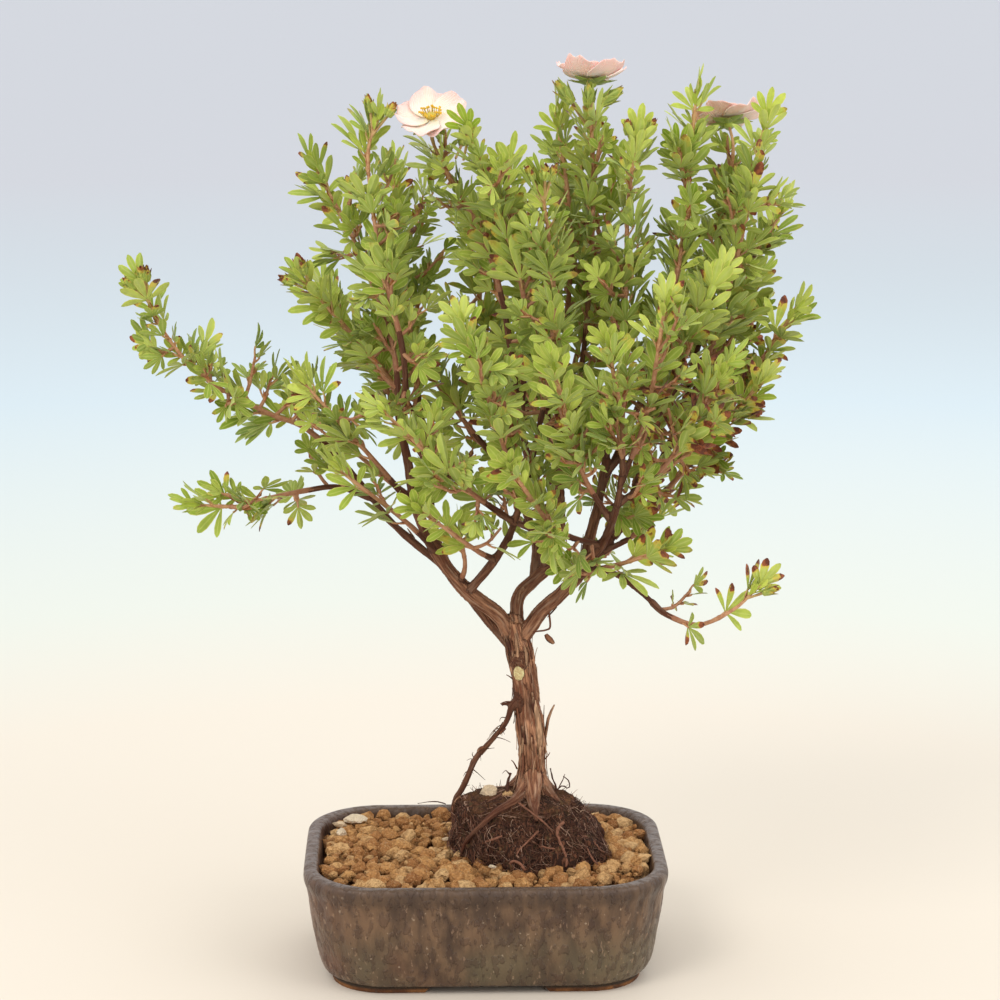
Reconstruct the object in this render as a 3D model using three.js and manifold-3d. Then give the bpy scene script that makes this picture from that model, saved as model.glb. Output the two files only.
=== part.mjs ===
// Shrubby cinquefoil grown as a bonsai, rooted in a glazed ceramic pot of akadama grit.
// Millimetres, +Z up, the front of the pot towards -Y. The tree is set out from the pot's centre
// line, and the finished group is moved so that the origin is the middle of its base.

import * as THREE from 'three';
import { mergeVertices } from 'three/addons/utils/BufferGeometryUtils.js';
import Module from 'manifold-3d';

const wasm = await Module();
wasm.setup();

// Driving dimensions
const GAP = 0.3;
const SUNK_FOOT = 0.4;
const POT = { length: 130, width: 104, corner: 29, rimTop: 41, floorTop: 8, drainRadius: 5, drainX: 30 };
const FOOT = { height: 3, inset: 10, length: 43, width: 28, slant: 3 };
const SOIL = { level: 37.2, lump: 3.0, jitter: 1.3, pitch: 6.9, seed: 4711 };
const SHOOT = { baseRadius: 1.3, tipRadius: 1.0, leafSpacing: 17 };
const LEAF = {
  stalk: 5, length: 13.5, halfWidth: 2.1, waist: 0.62, halfThickness: 0.9, notch: 1.5, sunk: 0.7,
  seed: 4711,
};
const FLOWER = { petalReach: 12.6, petalHalfWidth: 6.3, halfThickness: 0.55, calyxDepth: 3.2 };

// The pot's wall, as [how far inside the rim's outline, height], up the outside and down the inside
const POT_PROFILE = [
  [9.2, 2.6], [6.6, 4], [4.6, 11], [2.4, 25], [1.3, 33.5], [0.3, 36.2], [0, 39.2], [1.4, 41],
  [4.4, 41], [5.8, 39], [9.0, 14], [12.0, 8],
];
const FIRST_INSIDE = 8;

// The root mass, as [height, middle X, half-length in X, half-width in Y]
const ROOT_MASS = [
  [17, 16, 18, 16], [28, 17, 26, 23], [40, 17.5, 28, 26], [46, 15.5, 26.2, 24], [52, 13.5, 24, 20.5],
  [57.5, 11.5, 21, 15.5], [60.5, 12, 14, 10],
];
const ROOT_MASS_Y = -1;

// Roots that show on the root mass, as their radius and [angle round it, height] from the trunk down
const SURFACE_ROOTS = [
  { radius: 1.6, route: [[-112, 60], [-126, 55.5], [-143, 46], [-148, 39]] },
  { radius: 1.3, route: [[62, 59], [78, 51], [72, 38]] },
];

// The old wood, as points along each limb from its foot, and its radius at foot and end
const TRUNK = {
  radii: [8, 6.7, 5.0, 4.9, 4.75, 4.5, 4.9, 3.7],
  points: [[17, 0, 49], [17, 0, 56], [17.3, 0, 64], [17.2, 0, 76], [15.9, 0, 90], [13.8, 0, 106],
    [12.4, 0, 115], [10.6, 0, 124]],
};
const LIMBS = {
  left: { radii: [3.2, 1.5], points: [[9, 0, 120], [4.5, -2, 127.5], [-6, -6, 136.5], [-14, -9, 147],
    [-21, -12, 160], [-25, -14, 173], [-27, -16, 186], [-30, -18, 200]] },
  far_left: { radii: [1.9, 1.2], points: [[10, 1, 114], [0, 6, 125], [-6, 10, 132], [-13, 13, 140],
    [-24, 16, 149], [-34, 17, 158], [-42, 16, 169], [-48, 14, 177]] },
  middle: { radii: [2.9, 1.3], points: [[12, 0, 119], [12, 2, 132], [18, 6, 138], [23, 9, 142],
    [27, 14, 150], [28, 18, 165], [25, 20, 183]] },
  right: { radii: [3.1, 1.4], points: [[13, 0, 117], [20, -4, 128.5], [27.3, -8, 136.5], [34, -12, 146],
    [37, -16, 159], [40, -20, 174], [42, -24, 189]] },
  left_back: { radii: [1.9, 1.2], points: [[-13.5, -8.8, 147], [-17, 3, 154], [-19, 15, 164],
    [-20, 24, 177], [-22, 30, 190]] },
  right_back: { radii: [2.1, 1.2], points: [[22.5, -5.3, 131.5], [38, 6, 143], [50, 17, 156],
    [61, 26, 170], [70, 30, 185]] },
  back: { radii: [2.0, 1.2], points: [[18, 6, 138], [19, 20, 149], [14, 35, 163], [9, 46, 180]] },
  front: { radii: [1.9, 1.2], points: [[-6, -6, 136.5], [2, -18, 149], [8, -31, 162], [12, -40, 177]] },
  front_right: { radii: [1.9, 1.2], points: [[33, -11, 145], [40, -25, 157], [44, -38, 171],
    [46, -46, 187]] },
  centre: { radii: [1.8, 1.2], points: [[22, 9, 141], [21, 4, 158], [16, -4, 180], [12, -10, 203]] },
  low_right: { radii: [1.4, 1.0], points: [[31, -10, 142], [39, -18, 147], [46, -22, 146],
    [52, -24, 142], [57, -26, 138]] },
};
const PROP_ROOT = {
  radii: [1.9, 1.6, 1.4, 1.3, 1.3, 1.4, 1.5, 1.6, 1.6, 1.3],
  points: [[13, -1, 97], [9.9, -1.5, 93.5], [7.7, -1, 87], [2.2, 0, 80], [-2.8, 1, 73.7], [-5.6, 1.5, 67.4],
    [-8, 2, 61.7], [-10.3, 3, 57.5], [-11, 4, 51.5], [-10.5, 4, 44]],
};
const STUBS = [
  { foot: [13, -1, 95], end: [5.8, -2, 93.9], radius: 0.8 },
  { foot: [12, -3, 110], end: [11.4, -5.6, 111], radius: 1.9 },
  { foot: [27.5, 19, 171], end: [13, 12, 173], radius: 1.1 },
];

// Leafy shoots: the limb each grows from, where along it, the share of its length that is bare
// wood, and its course to the tip
const SHOOTS = {
  far_left: { limb: 'far_left', at: 1, bare: 0.18, course: [[-56, 9, 187], [-65, 4, 195], [-78, 0, 201],
    [-99, -8, 215], [-112, -11, 232], [-118, -12, 246]] },
  low_left: { limb: 'far_left', at: 0.84, bare: 0.4, course: [[-52, 13, 171], [-64, 6, 171],
    [-77, 0, 169.5], [-87, -4, 167.5], [-100, -9, 169]] },
  left_1: { limb: 'left_back', at: 1, bare: 0.25, course: [[-30, 12, 206], [-42, 2, 223],
    [-62, -8, 247]] },
  left_2: { limb: 'left', at: 1, bare: 0.2, course: [[-32, -9, 225], [-43, 0, 256], [-59, 2, 287]] },
  left_3: { limb: 'left', at: 0.93, bare: 0.35, course: [[-28, -20, 222], [-36, -18, 258],
    [-40, -16, 290], [-37, -15, 303]] },
  left_4: { limb: 'left', at: 0.62, bare: 0.3, course: [[-38, -20, 186], [-62, -24, 214]] },
  left_5: { limb: 'left', at: 0.45, bare: 0.3, course: [[-28, -24, 166], [-50, -36, 186]] },
  left_6: { limb: 'left_back', at: 0.75, bare: 0.3, course: [[-34, 33, 202], [-56, 40, 238]] },
  left_7: { limb: 'left_back', at: 0.95, bare: 0.3, course: [[-26, 34, 225], [-32, 32, 280]] },
  left_8: { limb: 'left_back', at: 0.45, bare: 0.3, course: [[-38, 26, 174], [-66, 32, 200]] },
  bloom_1: { limb: 'centre', at: 1, bare: 0.4, bloom: 'bloom_1', course: [[6, -14, 242],
    [-2, -14, 266]] },
  centre_1: { limb: 'centre', at: 0.93, bare: 0.4, course: [[14, -21, 236], [9, -24, 261],
    [0, -29, 286], [-5, -33, 300]] },
  centre_2: { limb: 'front', at: 1, bare: 0.3, course: [[20, -38, 212], [23, -34, 247],
    [19, -35, 282]] },
  centre_3: { limb: 'middle', at: 1, bare: 0.35, course: [[20, 12, 215], [15, 4, 247], [8, 8, 283]] },
  bloom_2: { limb: 'middle', at: 0.85, bare: 0.4, bloom: 'bloom_2', course: [[35, 12, 215],
    [38, 4, 258], [38, 2, 285]] },
  centre_4: { limb: 'middle', at: 0.95, bare: 0.45, course: [[29, 17, 220], [31, 10, 262],
    [26, 8, 302]] },
  centre_5: { limb: 'middle', at: 0.9, bare: 0.35, course: [[33, 30, 210], [48, 35, 280]] },
  right_1: { limb: 'right', at: 1, bare: 0.3, course: [[48, -15, 220], [49, -10, 251], [50, -8, 277],
    [53, -5, 296]] },
  right_2: { limb: 'right', at: 0.85, bare: 0.35, course: [[54, -12, 205], [64, -6, 235], [70, -1, 265],
    [74, 5, 310]] },
  bloom_3: { limb: 'right_back', at: 1, bare: 0.4, bloom: 'bloom_3', course: [[79, 26, 225],
    [85, 22, 262]] },
  right_3: { limb: 'right_back', at: 0.8, bare: 0.35, course: [[75, 8, 206], [84, -4, 238],
    [92, -6, 274], [97, -6, 302]] },
  right_4: { limb: 'right_back', at: 0.9, bare: 0.3, course: [[82, 18, 218], [94, 10, 250],
    [105, 10, 269]] },
  right_5: { limb: 'right_back', at: 0.66, bare: 0.35, course: [[78, 12, 190], [93, 4, 210],
    [108, -3, 235]] },
  right_6: { limb: 'right_back', at: 0.45, bare: 0.35, course: [[66, 4, 172], [80, -8, 192],
    [95, -18, 212]] },
  right_7: { limb: 'right', at: 0.7, bare: 0.3, course: [[54, -18, 176], [74, -24, 192]] },
  right_8: { limb: 'right', at: 0.9, bare: 0.3, course: [[60, -28, 206], [80, -24, 250]] },
  right_9: { limb: 'right_back', at: 0.55, bare: 0.3, course: [[62, 38, 186], [72, 50, 236]] },
  right_10: { limb: 'right_back', at: 0.95, bare: 0.25, course: [[84, 34, 205], [100, 34, 242]] },
  right_11: { limb: 'right_back', at: 0.35, bare: 0.3, course: [[58, 13, 156], [73, 18, 178]] },
  front_1: { limb: 'front_right', at: 1, bare: 0.15, course: [[45, -52, 208], [40, -60, 231]] },
  front_2: { limb: 'front_right', at: 0.9, bare: 0.2, course: [[54, -48, 208], [59, -55, 244]] },
  front_3: { limb: 'front_right', at: 0.6, bare: 0.25, course: [[32, -48, 188], [22, -64, 224]] },
  front_4: { limb: 'front_right', at: 0.75, bare: 0.3, course: [[62, -42, 190], [80, -46, 222]] },
  front_5: { limb: 'front', at: 0.95, bare: 0.25, course: [[4, -50, 202], [-8, -58, 238]] },
  front_6: { limb: 'front', at: 0.8, bare: 0.25, course: [[-8, -44, 182], [-34, -50, 208]] },
  front_7: { limb: 'front', at: 0.4, bare: 0.25, course: [[-4, -34, 158], [-22, -48, 174]] },
  front_8: { limb: 'front_right', at: 0.35, bare: 0.3, course: [[24, -40, 166], [8, -60, 190]] },
  sprig: { limb: 'left', at: 0.3, bare: 0.15, course: [[-7, -14, 148], [-9, -25, 162]] },
  low_right_1: { limb: 'low_right', at: 0.3, bare: 0.25, course: [[48, -30, 152], [60, -38, 158]] },
  low_right_2: { limb: 'low_right', at: 1, bare: 0.25, course: [[63, -28, 133], [74, -31, 130],
    [86, -33, 136], [93, -34, 143]] },
  back_1: { limb: 'back', at: 1, bare: 0.25, course: [[3, 52, 212], [-5, 56, 262]] },
  back_2: { limb: 'back', at: 0.9, bare: 0.3, course: [[22, 50, 212], [32, 54, 266]] },
  back_3: { limb: 'back', at: 0.75, bare: 0.3, course: [[-10, 46, 194], [-36, 52, 232]] },
  back_4: { limb: 'back', at: 0.95, bare: 0.25, course: [[14, 60, 198], [10, 74, 222]] },
  back_5: { limb: 'back', at: 0.5, bare: 0.3, course: [[28, 42, 162], [44, 60, 190]] },
  back_6: { limb: 'back', at: 0.4, bare: 0.3, course: [[4, 36, 158], [-18, 52, 180]] },
};

// Blooms: middle of the petals' base, the way the bloom faces, and how much its petals rise to their ends
const BLOOMS = {
  bloom_1: { centre: [-18.3, -19, 304.8], facing: [-0.12, -0.54, 0.83], cup: 0.24 },
  bloom_2: { centre: [37.4, 0, 317.5], facing: [0.02, 0.2, 0.97], cup: 0.42 },
  bloom_3: { centre: [86.8, 20, 302], facing: [-0.1, 0.4, 0.9], cup: 0.16 },
};

const COLOURS = {
  glaze: 0x705945, grit: 0x99683c, roots: 0x4c2c1f, bark: 0x84543b,
  leaf: 0x7f8a34, petal: 0xf6dccf, stamen: 0xe3bf35,
};

// Repeatable random numbers between 0 and 1
let randomState = SOIL.seed;
function random() {
  randomState = (randomState * 16807) % 2147483647;
  return randomState / 2147483647;
}

const vector = (xyz) => new THREE.Vector3(...xyz);
const radians = THREE.MathUtils.degToRad;

/** A closed three.js geometry from corner points and triangles. */
function geometryOf(points, triangles) {
  const geometry = new THREE.BufferGeometry();
  const places = points.flatMap((point) => [point.x, point.y, point.z]);
  geometry.setAttribute('position', new THREE.Float32BufferAttribute(places, 3));
  geometry.setIndex(triangles);
  return geometry;
}

/** A closed geometry as a solid that can be joined and cut. */
function solid(geometry) {
  const bare = geometry.clone();
  bare.deleteAttribute('normal');
  bare.deleteAttribute('uv');
  const merged = mergeVertices(bare, 1e-5);
  return new wasm.Manifold(new wasm.Mesh({
    numProp: 3,
    vertProperties: new Float32Array(merged.attributes.position.array),
    triVerts: new Uint32Array(merged.index.array),
  }));
}

/** The joined or cut solid as a three.js geometry again. */
function geometryFromSolid(body) {
  const mesh = body.getMesh();
  const geometry = new THREE.BufferGeometry();
  geometry.setAttribute('position', new THREE.BufferAttribute(new Float32Array(mesh.vertProperties), 3));
  geometry.setIndex(new THREE.BufferAttribute(new Uint32Array(mesh.triVerts), 1));
  geometry.computeVertexNormals();
  return geometry;
}

const join = (bodies) => bodies.reduce((whole, body) => whole.add(body));

/** A skin over rings of equal point counts, wound anticlockwise about the way they follow. */
function loft(rings) {
  const sides = rings[0].length;
  const last = (rings.length - 1) * sides;
  const triangles = [];
  for (let ring = 0; ring + 1 < rings.length; ring++) {
    for (let side = 0; side < sides; side++) {
      const a = ring * sides + side;
      const b = ring * sides + (side + 1) % sides;
      triangles.push(a, b, b + sides, a, b + sides, a + sides);
    }
  }
  for (let side = 1; side + 1 < sides; side++) {
    triangles.push(0, side + 1, side, last, last + side, last + side + 1);
  }
  return geometryOf(rings.flat(), triangles);
}

/** A level ring with four rounded corners. */
function roundedRing(length, width, radius, z, steps = 4) {
  const ring = [];
  for (let corner = 0; corner < 4; corner++) {
    const sideX = corner === 0 || corner === 3 ? 1 : -1;
    const sideY = corner < 2 ? 1 : -1;
    for (let k = 0; k <= steps; k++) {
      const angle = (corner + k / steps) * Math.PI / 2;
      const x = sideX * (length / 2 - radius) + radius * Math.cos(angle);
      const y = sideY * (width / 2 - radius) + radius * Math.sin(angle);
      ring.push(new THREE.Vector3(x, y, z));
    }
  }
  return ring;
}

/** The pot's outline, moved in from the rim. */
function potRing(inset, z) {
  const radius = Math.max(POT.corner - inset, 6);
  return roundedRing(POT.length - 2 * inset, POT.width - 2 * inset, radius, z);
}

/** A smooth course through points: a list of evenly split places with their distance from the start. */
function smoothCourse(points, splits = 6) {
  const course = [];
  for (let k = 0; k + 1 < points.length; k++) {
    const p1 = points[k];
    const p2 = points[k + 1];
    const p0 = k > 0 ? points[k - 1] : p1.clone().multiplyScalar(2).sub(p2);
    const p3 = k + 2 < points.length ? points[k + 2] : p2.clone().multiplyScalar(2).sub(p1);
    for (let i = k === 0 ? 0 : 1; i <= splits; i++) {
      const t = i / splits;
      const place = new THREE.Vector3();
      for (const axis of ['x', 'y', 'z']) {
        const slope1 = (p2[axis] - p0[axis]) / 2;
        const slope2 = (p3[axis] - p1[axis]) / 2;
        const rise = p2[axis] - p1[axis];
        place[axis] = p1[axis] + slope1 * t + (3 * rise - 2 * slope1 - slope2) * t * t
          + (slope1 + slope2 - 2 * rise) * t * t * t;
      }
      course.push({ place, distance: 0 });
    }
  }
  for (let k = 1; k < course.length; k++) {
    course[k].distance = course[k - 1].distance + course[k].place.distanceTo(course[k - 1].place);
  }
  return course;
}

const lengthOf = (course) => course[course.length - 1].distance;

/** The place and direction at a distance along a course. */
function along(course, distance) {
  let k = 1;
  while (k < course.length - 1 && course[k].distance < distance) k++;
  const before = course[k - 1];
  const after = course[k];
  const share = (distance - before.distance) / (after.distance - before.distance);
  return {
    place: before.place.clone().lerp(after.place, share),
    direction: after.place.clone().sub(before.place).normalize(),
  };
}

/** Two directions square to a course's own, the first as near as can be to the one handed on. */
function squareTo(direction, handedOn) {
  const first = handedOn.clone().addScaledVector(direction, -handedOn.dot(direction)).normalize();
  return { first, second: new THREE.Vector3().crossVectors(direction, first) };
}

/** A tapered stem along a course, between two distances, with its radius given by the share run. */
function stem(course, from, to, radiusAt, sides, steps) {
  const rings = [];
  let handedOn = new THREE.Vector3(0.31, -0.95, 0.08);
  for (let k = 0; k <= steps; k++) {
    const { place, direction } = along(course, from + (to - from) * k / steps);
    const { first, second } = squareTo(direction, handedOn);
    handedOn = first;
    const ring = [];
    for (let side = 0; side < sides; side++) {
      const angle = 2 * Math.PI * side / sides;
      ring.push(place.clone().addScaledVector(first, radiusAt(k / steps) * Math.cos(angle))
        .addScaledVector(second, radiusAt(k / steps) * Math.sin(angle)));
    }
    rings.push(ring);
  }
  return loft(rings);
}

/** A radius read from a list that is spread evenly over the course. */
function radiusFrom(radii, grow = 0) {
  return (share) => {
    const spot = Math.min(share * (radii.length - 1), radii.length - 1 - 1e-9);
    const k = Math.floor(spot);
    return radii[k] + (radii[k + 1] - radii[k]) * (spot - k) + grow;
  };
}

// Pot: a moulded and glazed wall, two drain holes and four corner feet
function makePot() {
  const wall = solid(loft(POT_PROFILE.map(([inset, z]) => potRing(inset, z))));
  const underside = solid(loft([potRing(FOOT.inset, 0), potRing(FOOT.inset, FOOT.height + 1)]));
  const feet = [];
  const drains = [];
  for (const sideX of [-1, 1]) {
    for (const sideY of [-1, 1]) {
      const span = (outer, size, side) => [side * (outer - size), side * outer].sort((a, b) => a - b);
      const block = (inner, z) => {
        const [left, right] = span(POT.length / 2, FOOT.length + inner, sideX);
        const [near, far] = span(POT.width / 2, FOOT.width + inner, sideY);
        return [[left, near, z], [right, near, z], [right, far, z], [left, far, z]].map(vector);
      };
      const foot = loft([block(0, -1), block(0, 0), block(FOOT.slant, FOOT.height + 0.8)]);
      feet.push(solid(foot).intersect(underside));
    }
    const drain = new THREE.CylinderGeometry(POT.drainRadius, POT.drainRadius, 3 * POT.floorTop, 12);
    drain.rotateX(Math.PI / 2).translate(sideX * POT.drainX, 0, 0);
    drains.push(solid(drain));
  }
  return join([wall, ...feet]).subtract(join(drains));
}

/** A point on the root mass at an angle round it and a height. */
function rootMassPoint(angle, z, grow) {
  let k = 0;
  while (k < ROOT_MASS.length - 2 && ROOT_MASS[k + 1][0] < z) k++;
  const [low, high] = [ROOT_MASS[k], ROOT_MASS[k + 1]];
  const share = THREE.MathUtils.clamp((z - low[0]) / (high[0] - low[0]), 0, 1);
  const [middle, halfX, halfY] = [1, 2, 3].map((column) => {
    return low[column] + (high[column] - low[column]) * share;
  });
  const lobe = 1 + 0.05 * Math.sin(5 * angle + z / 9) + 0.035 * Math.sin(9 * angle - z / 5);
  return new THREE.Vector3(
    middle + (halfX * lobe + grow) * Math.cos(angle),
    ROOT_MASS_Y + (halfY * lobe + grow) * Math.sin(angle),
    z,
  );
}

// Root mass: matted fine roots with a few thick ones over them
function makeRootMass(grow = 0) {
  const sides = 14;
  const rings = ROOT_MASS.map(([z], level) => {
    const reach = level === 0 ? -grow : level === ROOT_MASS.length - 1 ? grow : 0;
    return Array.from({ length: sides }, (_, side) => {
      const point = rootMassPoint(2 * Math.PI * side / sides, z, grow);
      point.z += reach;
      return point;
    });
  });
  const roots = SURFACE_ROOTS.map(({ radius, route }) => {
    const course = smoothCourse(route.map(([angle, z]) => rootMassPoint(radians(angle), z, 0)), 3);
    return solid(stem(course, 0, lengthOf(course), radiusFrom([radius * 1.2, radius * 0.7], grow), 4, 4));
  });
  return join([solid(loft(rings)), ...roots]);
}

// Akadama: one bed of grit whose surface is raised in lumps
function makeSoil() {
  const columns = Math.ceil(POT.length / SOIL.pitch) + 2;
  const rows = Math.ceil(POT.width / (SOIL.pitch * 0.866)) + 2;
  const points = [];
  const triangles = [];
  const pointAt = (column, row) => row * columns + column;
  for (let row = 0; row < rows; row++) {
    for (let column = 0; column < columns; column++) {
      const peak = (column - Math.floor(row / 2) - row + 3 * rows) % 3 === 0;
      const x = (column + (row % 2) / 2 - columns / 2) * SOIL.pitch + SOIL.jitter * (random() - 0.5) * 2;
      const y = (row - (rows - 1) / 2) * SOIL.pitch * 0.866 + SOIL.jitter * (random() - 0.5) * 2;
      const z = SOIL.level + (peak ? SOIL.lump : 0) + SOIL.jitter * (random() - 0.5);
      points.push(new THREE.Vector3(x, y, z));
    }
  }
  for (let row = 0; row + 1 < rows; row++) {
    for (let column = 0; column + 1 < columns; column++) {
      const [a, b] = [pointAt(column, row), pointAt(column + 1, row)];
      const [c, d] = [pointAt(column, row + 1), pointAt(column + 1, row + 1)];
      if (row % 2) triangles.push(a, b, d, a, d, c);
      else triangles.push(a, b, c, b, d, c);
    }
  }
  const edge = [];
  for (let column = 0; column < columns; column++) edge.push(pointAt(column, 0));
  for (let row = 1; row < rows; row++) edge.push(pointAt(columns - 1, row));
  for (let column = columns - 2; column >= 0; column--) edge.push(pointAt(column, rows - 1));
  for (let row = rows - 2; row > 0; row--) edge.push(pointAt(0, row));
  const under = points.length + edge.length;
  const bottom = POT.floorTop / 2;
  for (const corner of edge) points.push(points[corner].clone().setZ(bottom));
  points.push(new THREE.Vector3(0, 0, bottom));
  for (let k = 0; k < edge.length; k++) {
    const next = (k + 1) % edge.length;
    const [low, lowNext] = [under - edge.length + k, under - edge.length + next];
    triangles.push(low, lowNext, edge[next], low, edge[next], edge[k], under, lowNext, low);
  }
  const inside = POT_PROFILE.slice(FIRST_INSIDE + 1).reverse().map(([inset, z], k) => {
    return potRing(inset + GAP, k === 0 ? z + GAP : z);
  });
  inside.push(potRing(POT_PROFILE[FIRST_INSIDE + 1][0] + GAP, POT.rimTop + SOIL.lump));
  return solid(geometryOf(points, triangles)).intersect(solid(loft(inside))).subtract(makeRootMass(GAP));
}

// Courses of the limbs and shoots, from the lists above
const limbCourses = {};
for (const [name, limb] of Object.entries(LIMBS)) limbCourses[name] = smoothCourse(limb.points.map(vector));

const shoots = Object.entries(SHOOTS).map(([name, row]) => {
  const limb = limbCourses[row.limb];
  const points = [along(limb, lengthOf(limb) * row.at).place, ...row.course.map(vector)];
  if (row.bloom) {
    const bloom = BLOOMS[row.bloom];
    const facing = vector(bloom.facing).normalize();
    points.push(vector(bloom.centre).addScaledVector(facing, -14));
    points.push(vector(bloom.centre).addScaledVector(facing, -FLOWER.calyxDepth + 0.8));
  }
  const course = smoothCourse(points);
  return { name, course, split: lengthOf(course) * row.bare, bloom: row.bloom, length: lengthOf(course) };
});

/** A branch whose foot is drawn in where it is sunk in what it grows from. */
function branch(course, from, to, radii, sides, steps) {
  const full = radiusFrom(radii);
  return solid(stem(course, from, to, (share) => full(share) * (share === 0 ? SUNK_FOOT : 1), sides, steps));
}

/** The trunk, the prop root, the limbs and the bare foot of each shoot, grown as one. */
function makeTree() {
  const bodies = [];
  const trunk = smoothCourse(TRUNK.points.map(vector));
  bodies.push(solid(stem(trunk, 0, lengthOf(trunk), radiusFrom(TRUNK.radii), 10, 11)));
  const prop = smoothCourse(PROP_ROOT.points.map(vector));
  bodies.push(branch(prop, 0, lengthOf(prop), PROP_ROOT.radii, 5, 10));
  for (const stub of STUBS) {
    const course = smoothCourse([vector(stub.foot), vector(stub.end)]);
    bodies.push(branch(course, 0, lengthOf(course), [stub.radius, stub.radius], 5, 2));
  }
  for (const [name, limb] of Object.entries(LIMBS)) {
    const course = limbCourses[name];
    const steps = Math.round(lengthOf(course) / 13);
    bodies.push(branch(course, 0, lengthOf(course), limb.radii, limb.radii[0] > 2.5 ? 6 : 4, steps));
  }
  for (const { course, split } of shoots) {
    const steps = Math.max(2, Math.round(split / 20));
    bodies.push(branch(course, 0, split, [SHOOT.baseRadius + 0.1, SHOOT.baseRadius], 3, steps));
  }
  return join(bodies);
}

/** The hole that the trunk and the prop root stand in. */
function makeTreeSocket() {
  const trunk = smoothCourse(TRUNK.points.slice(0, 3).map(vector));
  const wide = radiusFrom(TRUNK.radii.slice(0, 3), 3 * GAP);
  const prop = smoothCourse(PROP_ROOT.points.slice(6).map(vector));
  const socket = stem(trunk, -GAP, lengthOf(trunk), wide, 10, 6);
  const side = stem(prop, 0, lengthOf(prop) + GAP, radiusFrom(PROP_ROOT.radii.slice(6), 3 * GAP), 6, 6);
  return solid(socket).add(solid(side));
}

// Places already taken by stems, leaves and blooms, as balls along them
const taken = [];
function take(balls, node) {
  for (const ball of balls) taken.push({ ...ball, node });
}
function isClear(balls, node) {
  for (const ball of balls) {
    for (const other of taken) {
      const reach = ball.radius + other.radius;
      if (other.node !== node && ball.place.distanceToSquared(other.place) < reach * reach) return false;
    }
  }
  return true;
}
function stemBalls(course, from, to, radius) {
  const balls = [];
  for (let distance = from; distance < to; distance += 2.5) {
    balls.push({ place: along(course, distance).place, radius });
  }
  return balls;
}

const leafletAngles = { 5: [-80, -40, 0, 40, 80], 3: [-42, 0, 42] };
const leafletShares = { 5: [0.78, 0.95, 1, 0.95, 0.78], 3: [0.9, 1, 0.9] };

/** Where each leaflet points, and its size: in a close bunch it is as narrow as its neighbours make it. */
function leafletsOf(leaf) {
  const [outermost, next] = leafletAngles[leaf.count];
  const room = radians(next - outermost) * leaf.spread / 2;
  return leafletAngles[leaf.count].map((degrees, k) => {
    const angle = radians(degrees * leaf.spread);
    const [cosine, sine] = [Math.cos(angle), Math.sin(angle)];
    const flat = leaf.forward.clone().multiplyScalar(cosine).addScaledVector(leaf.side, sine);
    const across = leaf.forward.clone().multiplyScalar(-sine).addScaledVector(leaf.side, cosine);
    const direction = flat.multiplyScalar(Math.cos(leaf.cup)).addScaledVector(leaf.up, Math.sin(leaf.cup));
    const length = leaf.length * leafletShares[leaf.count][k];
    const halfWidth = Math.min(LEAF.halfWidth, 0.92 * LEAF.waist * length * Math.tan(room));
    return { angle, direction, across, length, halfWidth };
  });
}

function leafBalls(leaf) {
  const midStalk = leaf.foot.clone().lerp(leaf.hub, 0.5);
  const balls = [{ place: leaf.hub, radius: 1.3 }, { place: midStalk, radius: 0.9 }];
  for (const { direction, length } of leafletsOf(leaf)) {
    for (const [share, radius] of [[0.3, 1.6], [0.5, 2.1], [0.7, 2.1], [0.93, 1.1]]) {
      balls.push({ place: leaf.hub.clone().addScaledVector(direction, length * share), radius });
    }
  }
  return balls;
}

/** A leaf on a shoot: its stalk leans out from the stem, and its upper face looks to the shoot's tip. */
function leafAt(course, distance, turn, lean, size, count, spread, cup) {
  const { place, direction } = along(course, distance);
  const { first, second } = squareTo(direction, new THREE.Vector3(0.31, -0.95, 0.08));
  const outward = first.multiplyScalar(Math.cos(turn)).addScaledVector(second, Math.sin(turn));
  const forward = direction.clone().multiplyScalar(Math.cos(lean)).addScaledVector(outward, Math.sin(lean));
  const up = direction.clone().multiplyScalar(Math.sin(lean)).addScaledVector(outward, -Math.cos(lean));
  const side = new THREE.Vector3().crossVectors(up, forward);
  return {
    foot: place.clone(),
    hub: place.clone().addScaledVector(forward, LEAF.stalk * size),
    forward, up, side, count, spread, cup,
    length: LEAF.length * size,
  };
}

// Degrees by which a leaf is turned about its stem and leaned, one after the other, to find it room
const ROOM_TRIED = [[0, 0], [35, 0], [-35, 0], [0, -18], [70, -8], [-70, -8], [110, 0], [180, -10]];

/** A leaf kept at the first of those places that is clear of the other shoots. */
function tryLeaf(shoot, distance, turn, lean, size, count, spread, cup) {
  for (const [turnBy, leanBy] of ROOM_TRIED) {
    const [newTurn, newLean] = [turn + radians(turnBy), lean + radians(leanBy)];
    const leaf = leafAt(shoot.course, distance, newTurn, newLean, size, count, spread, cup);
    const balls = leafBalls(leaf);
    if (isClear(balls, shoot.name)) {
      take(balls, shoot.name);
      return leaf;
    }
  }
  return null;
}

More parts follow.
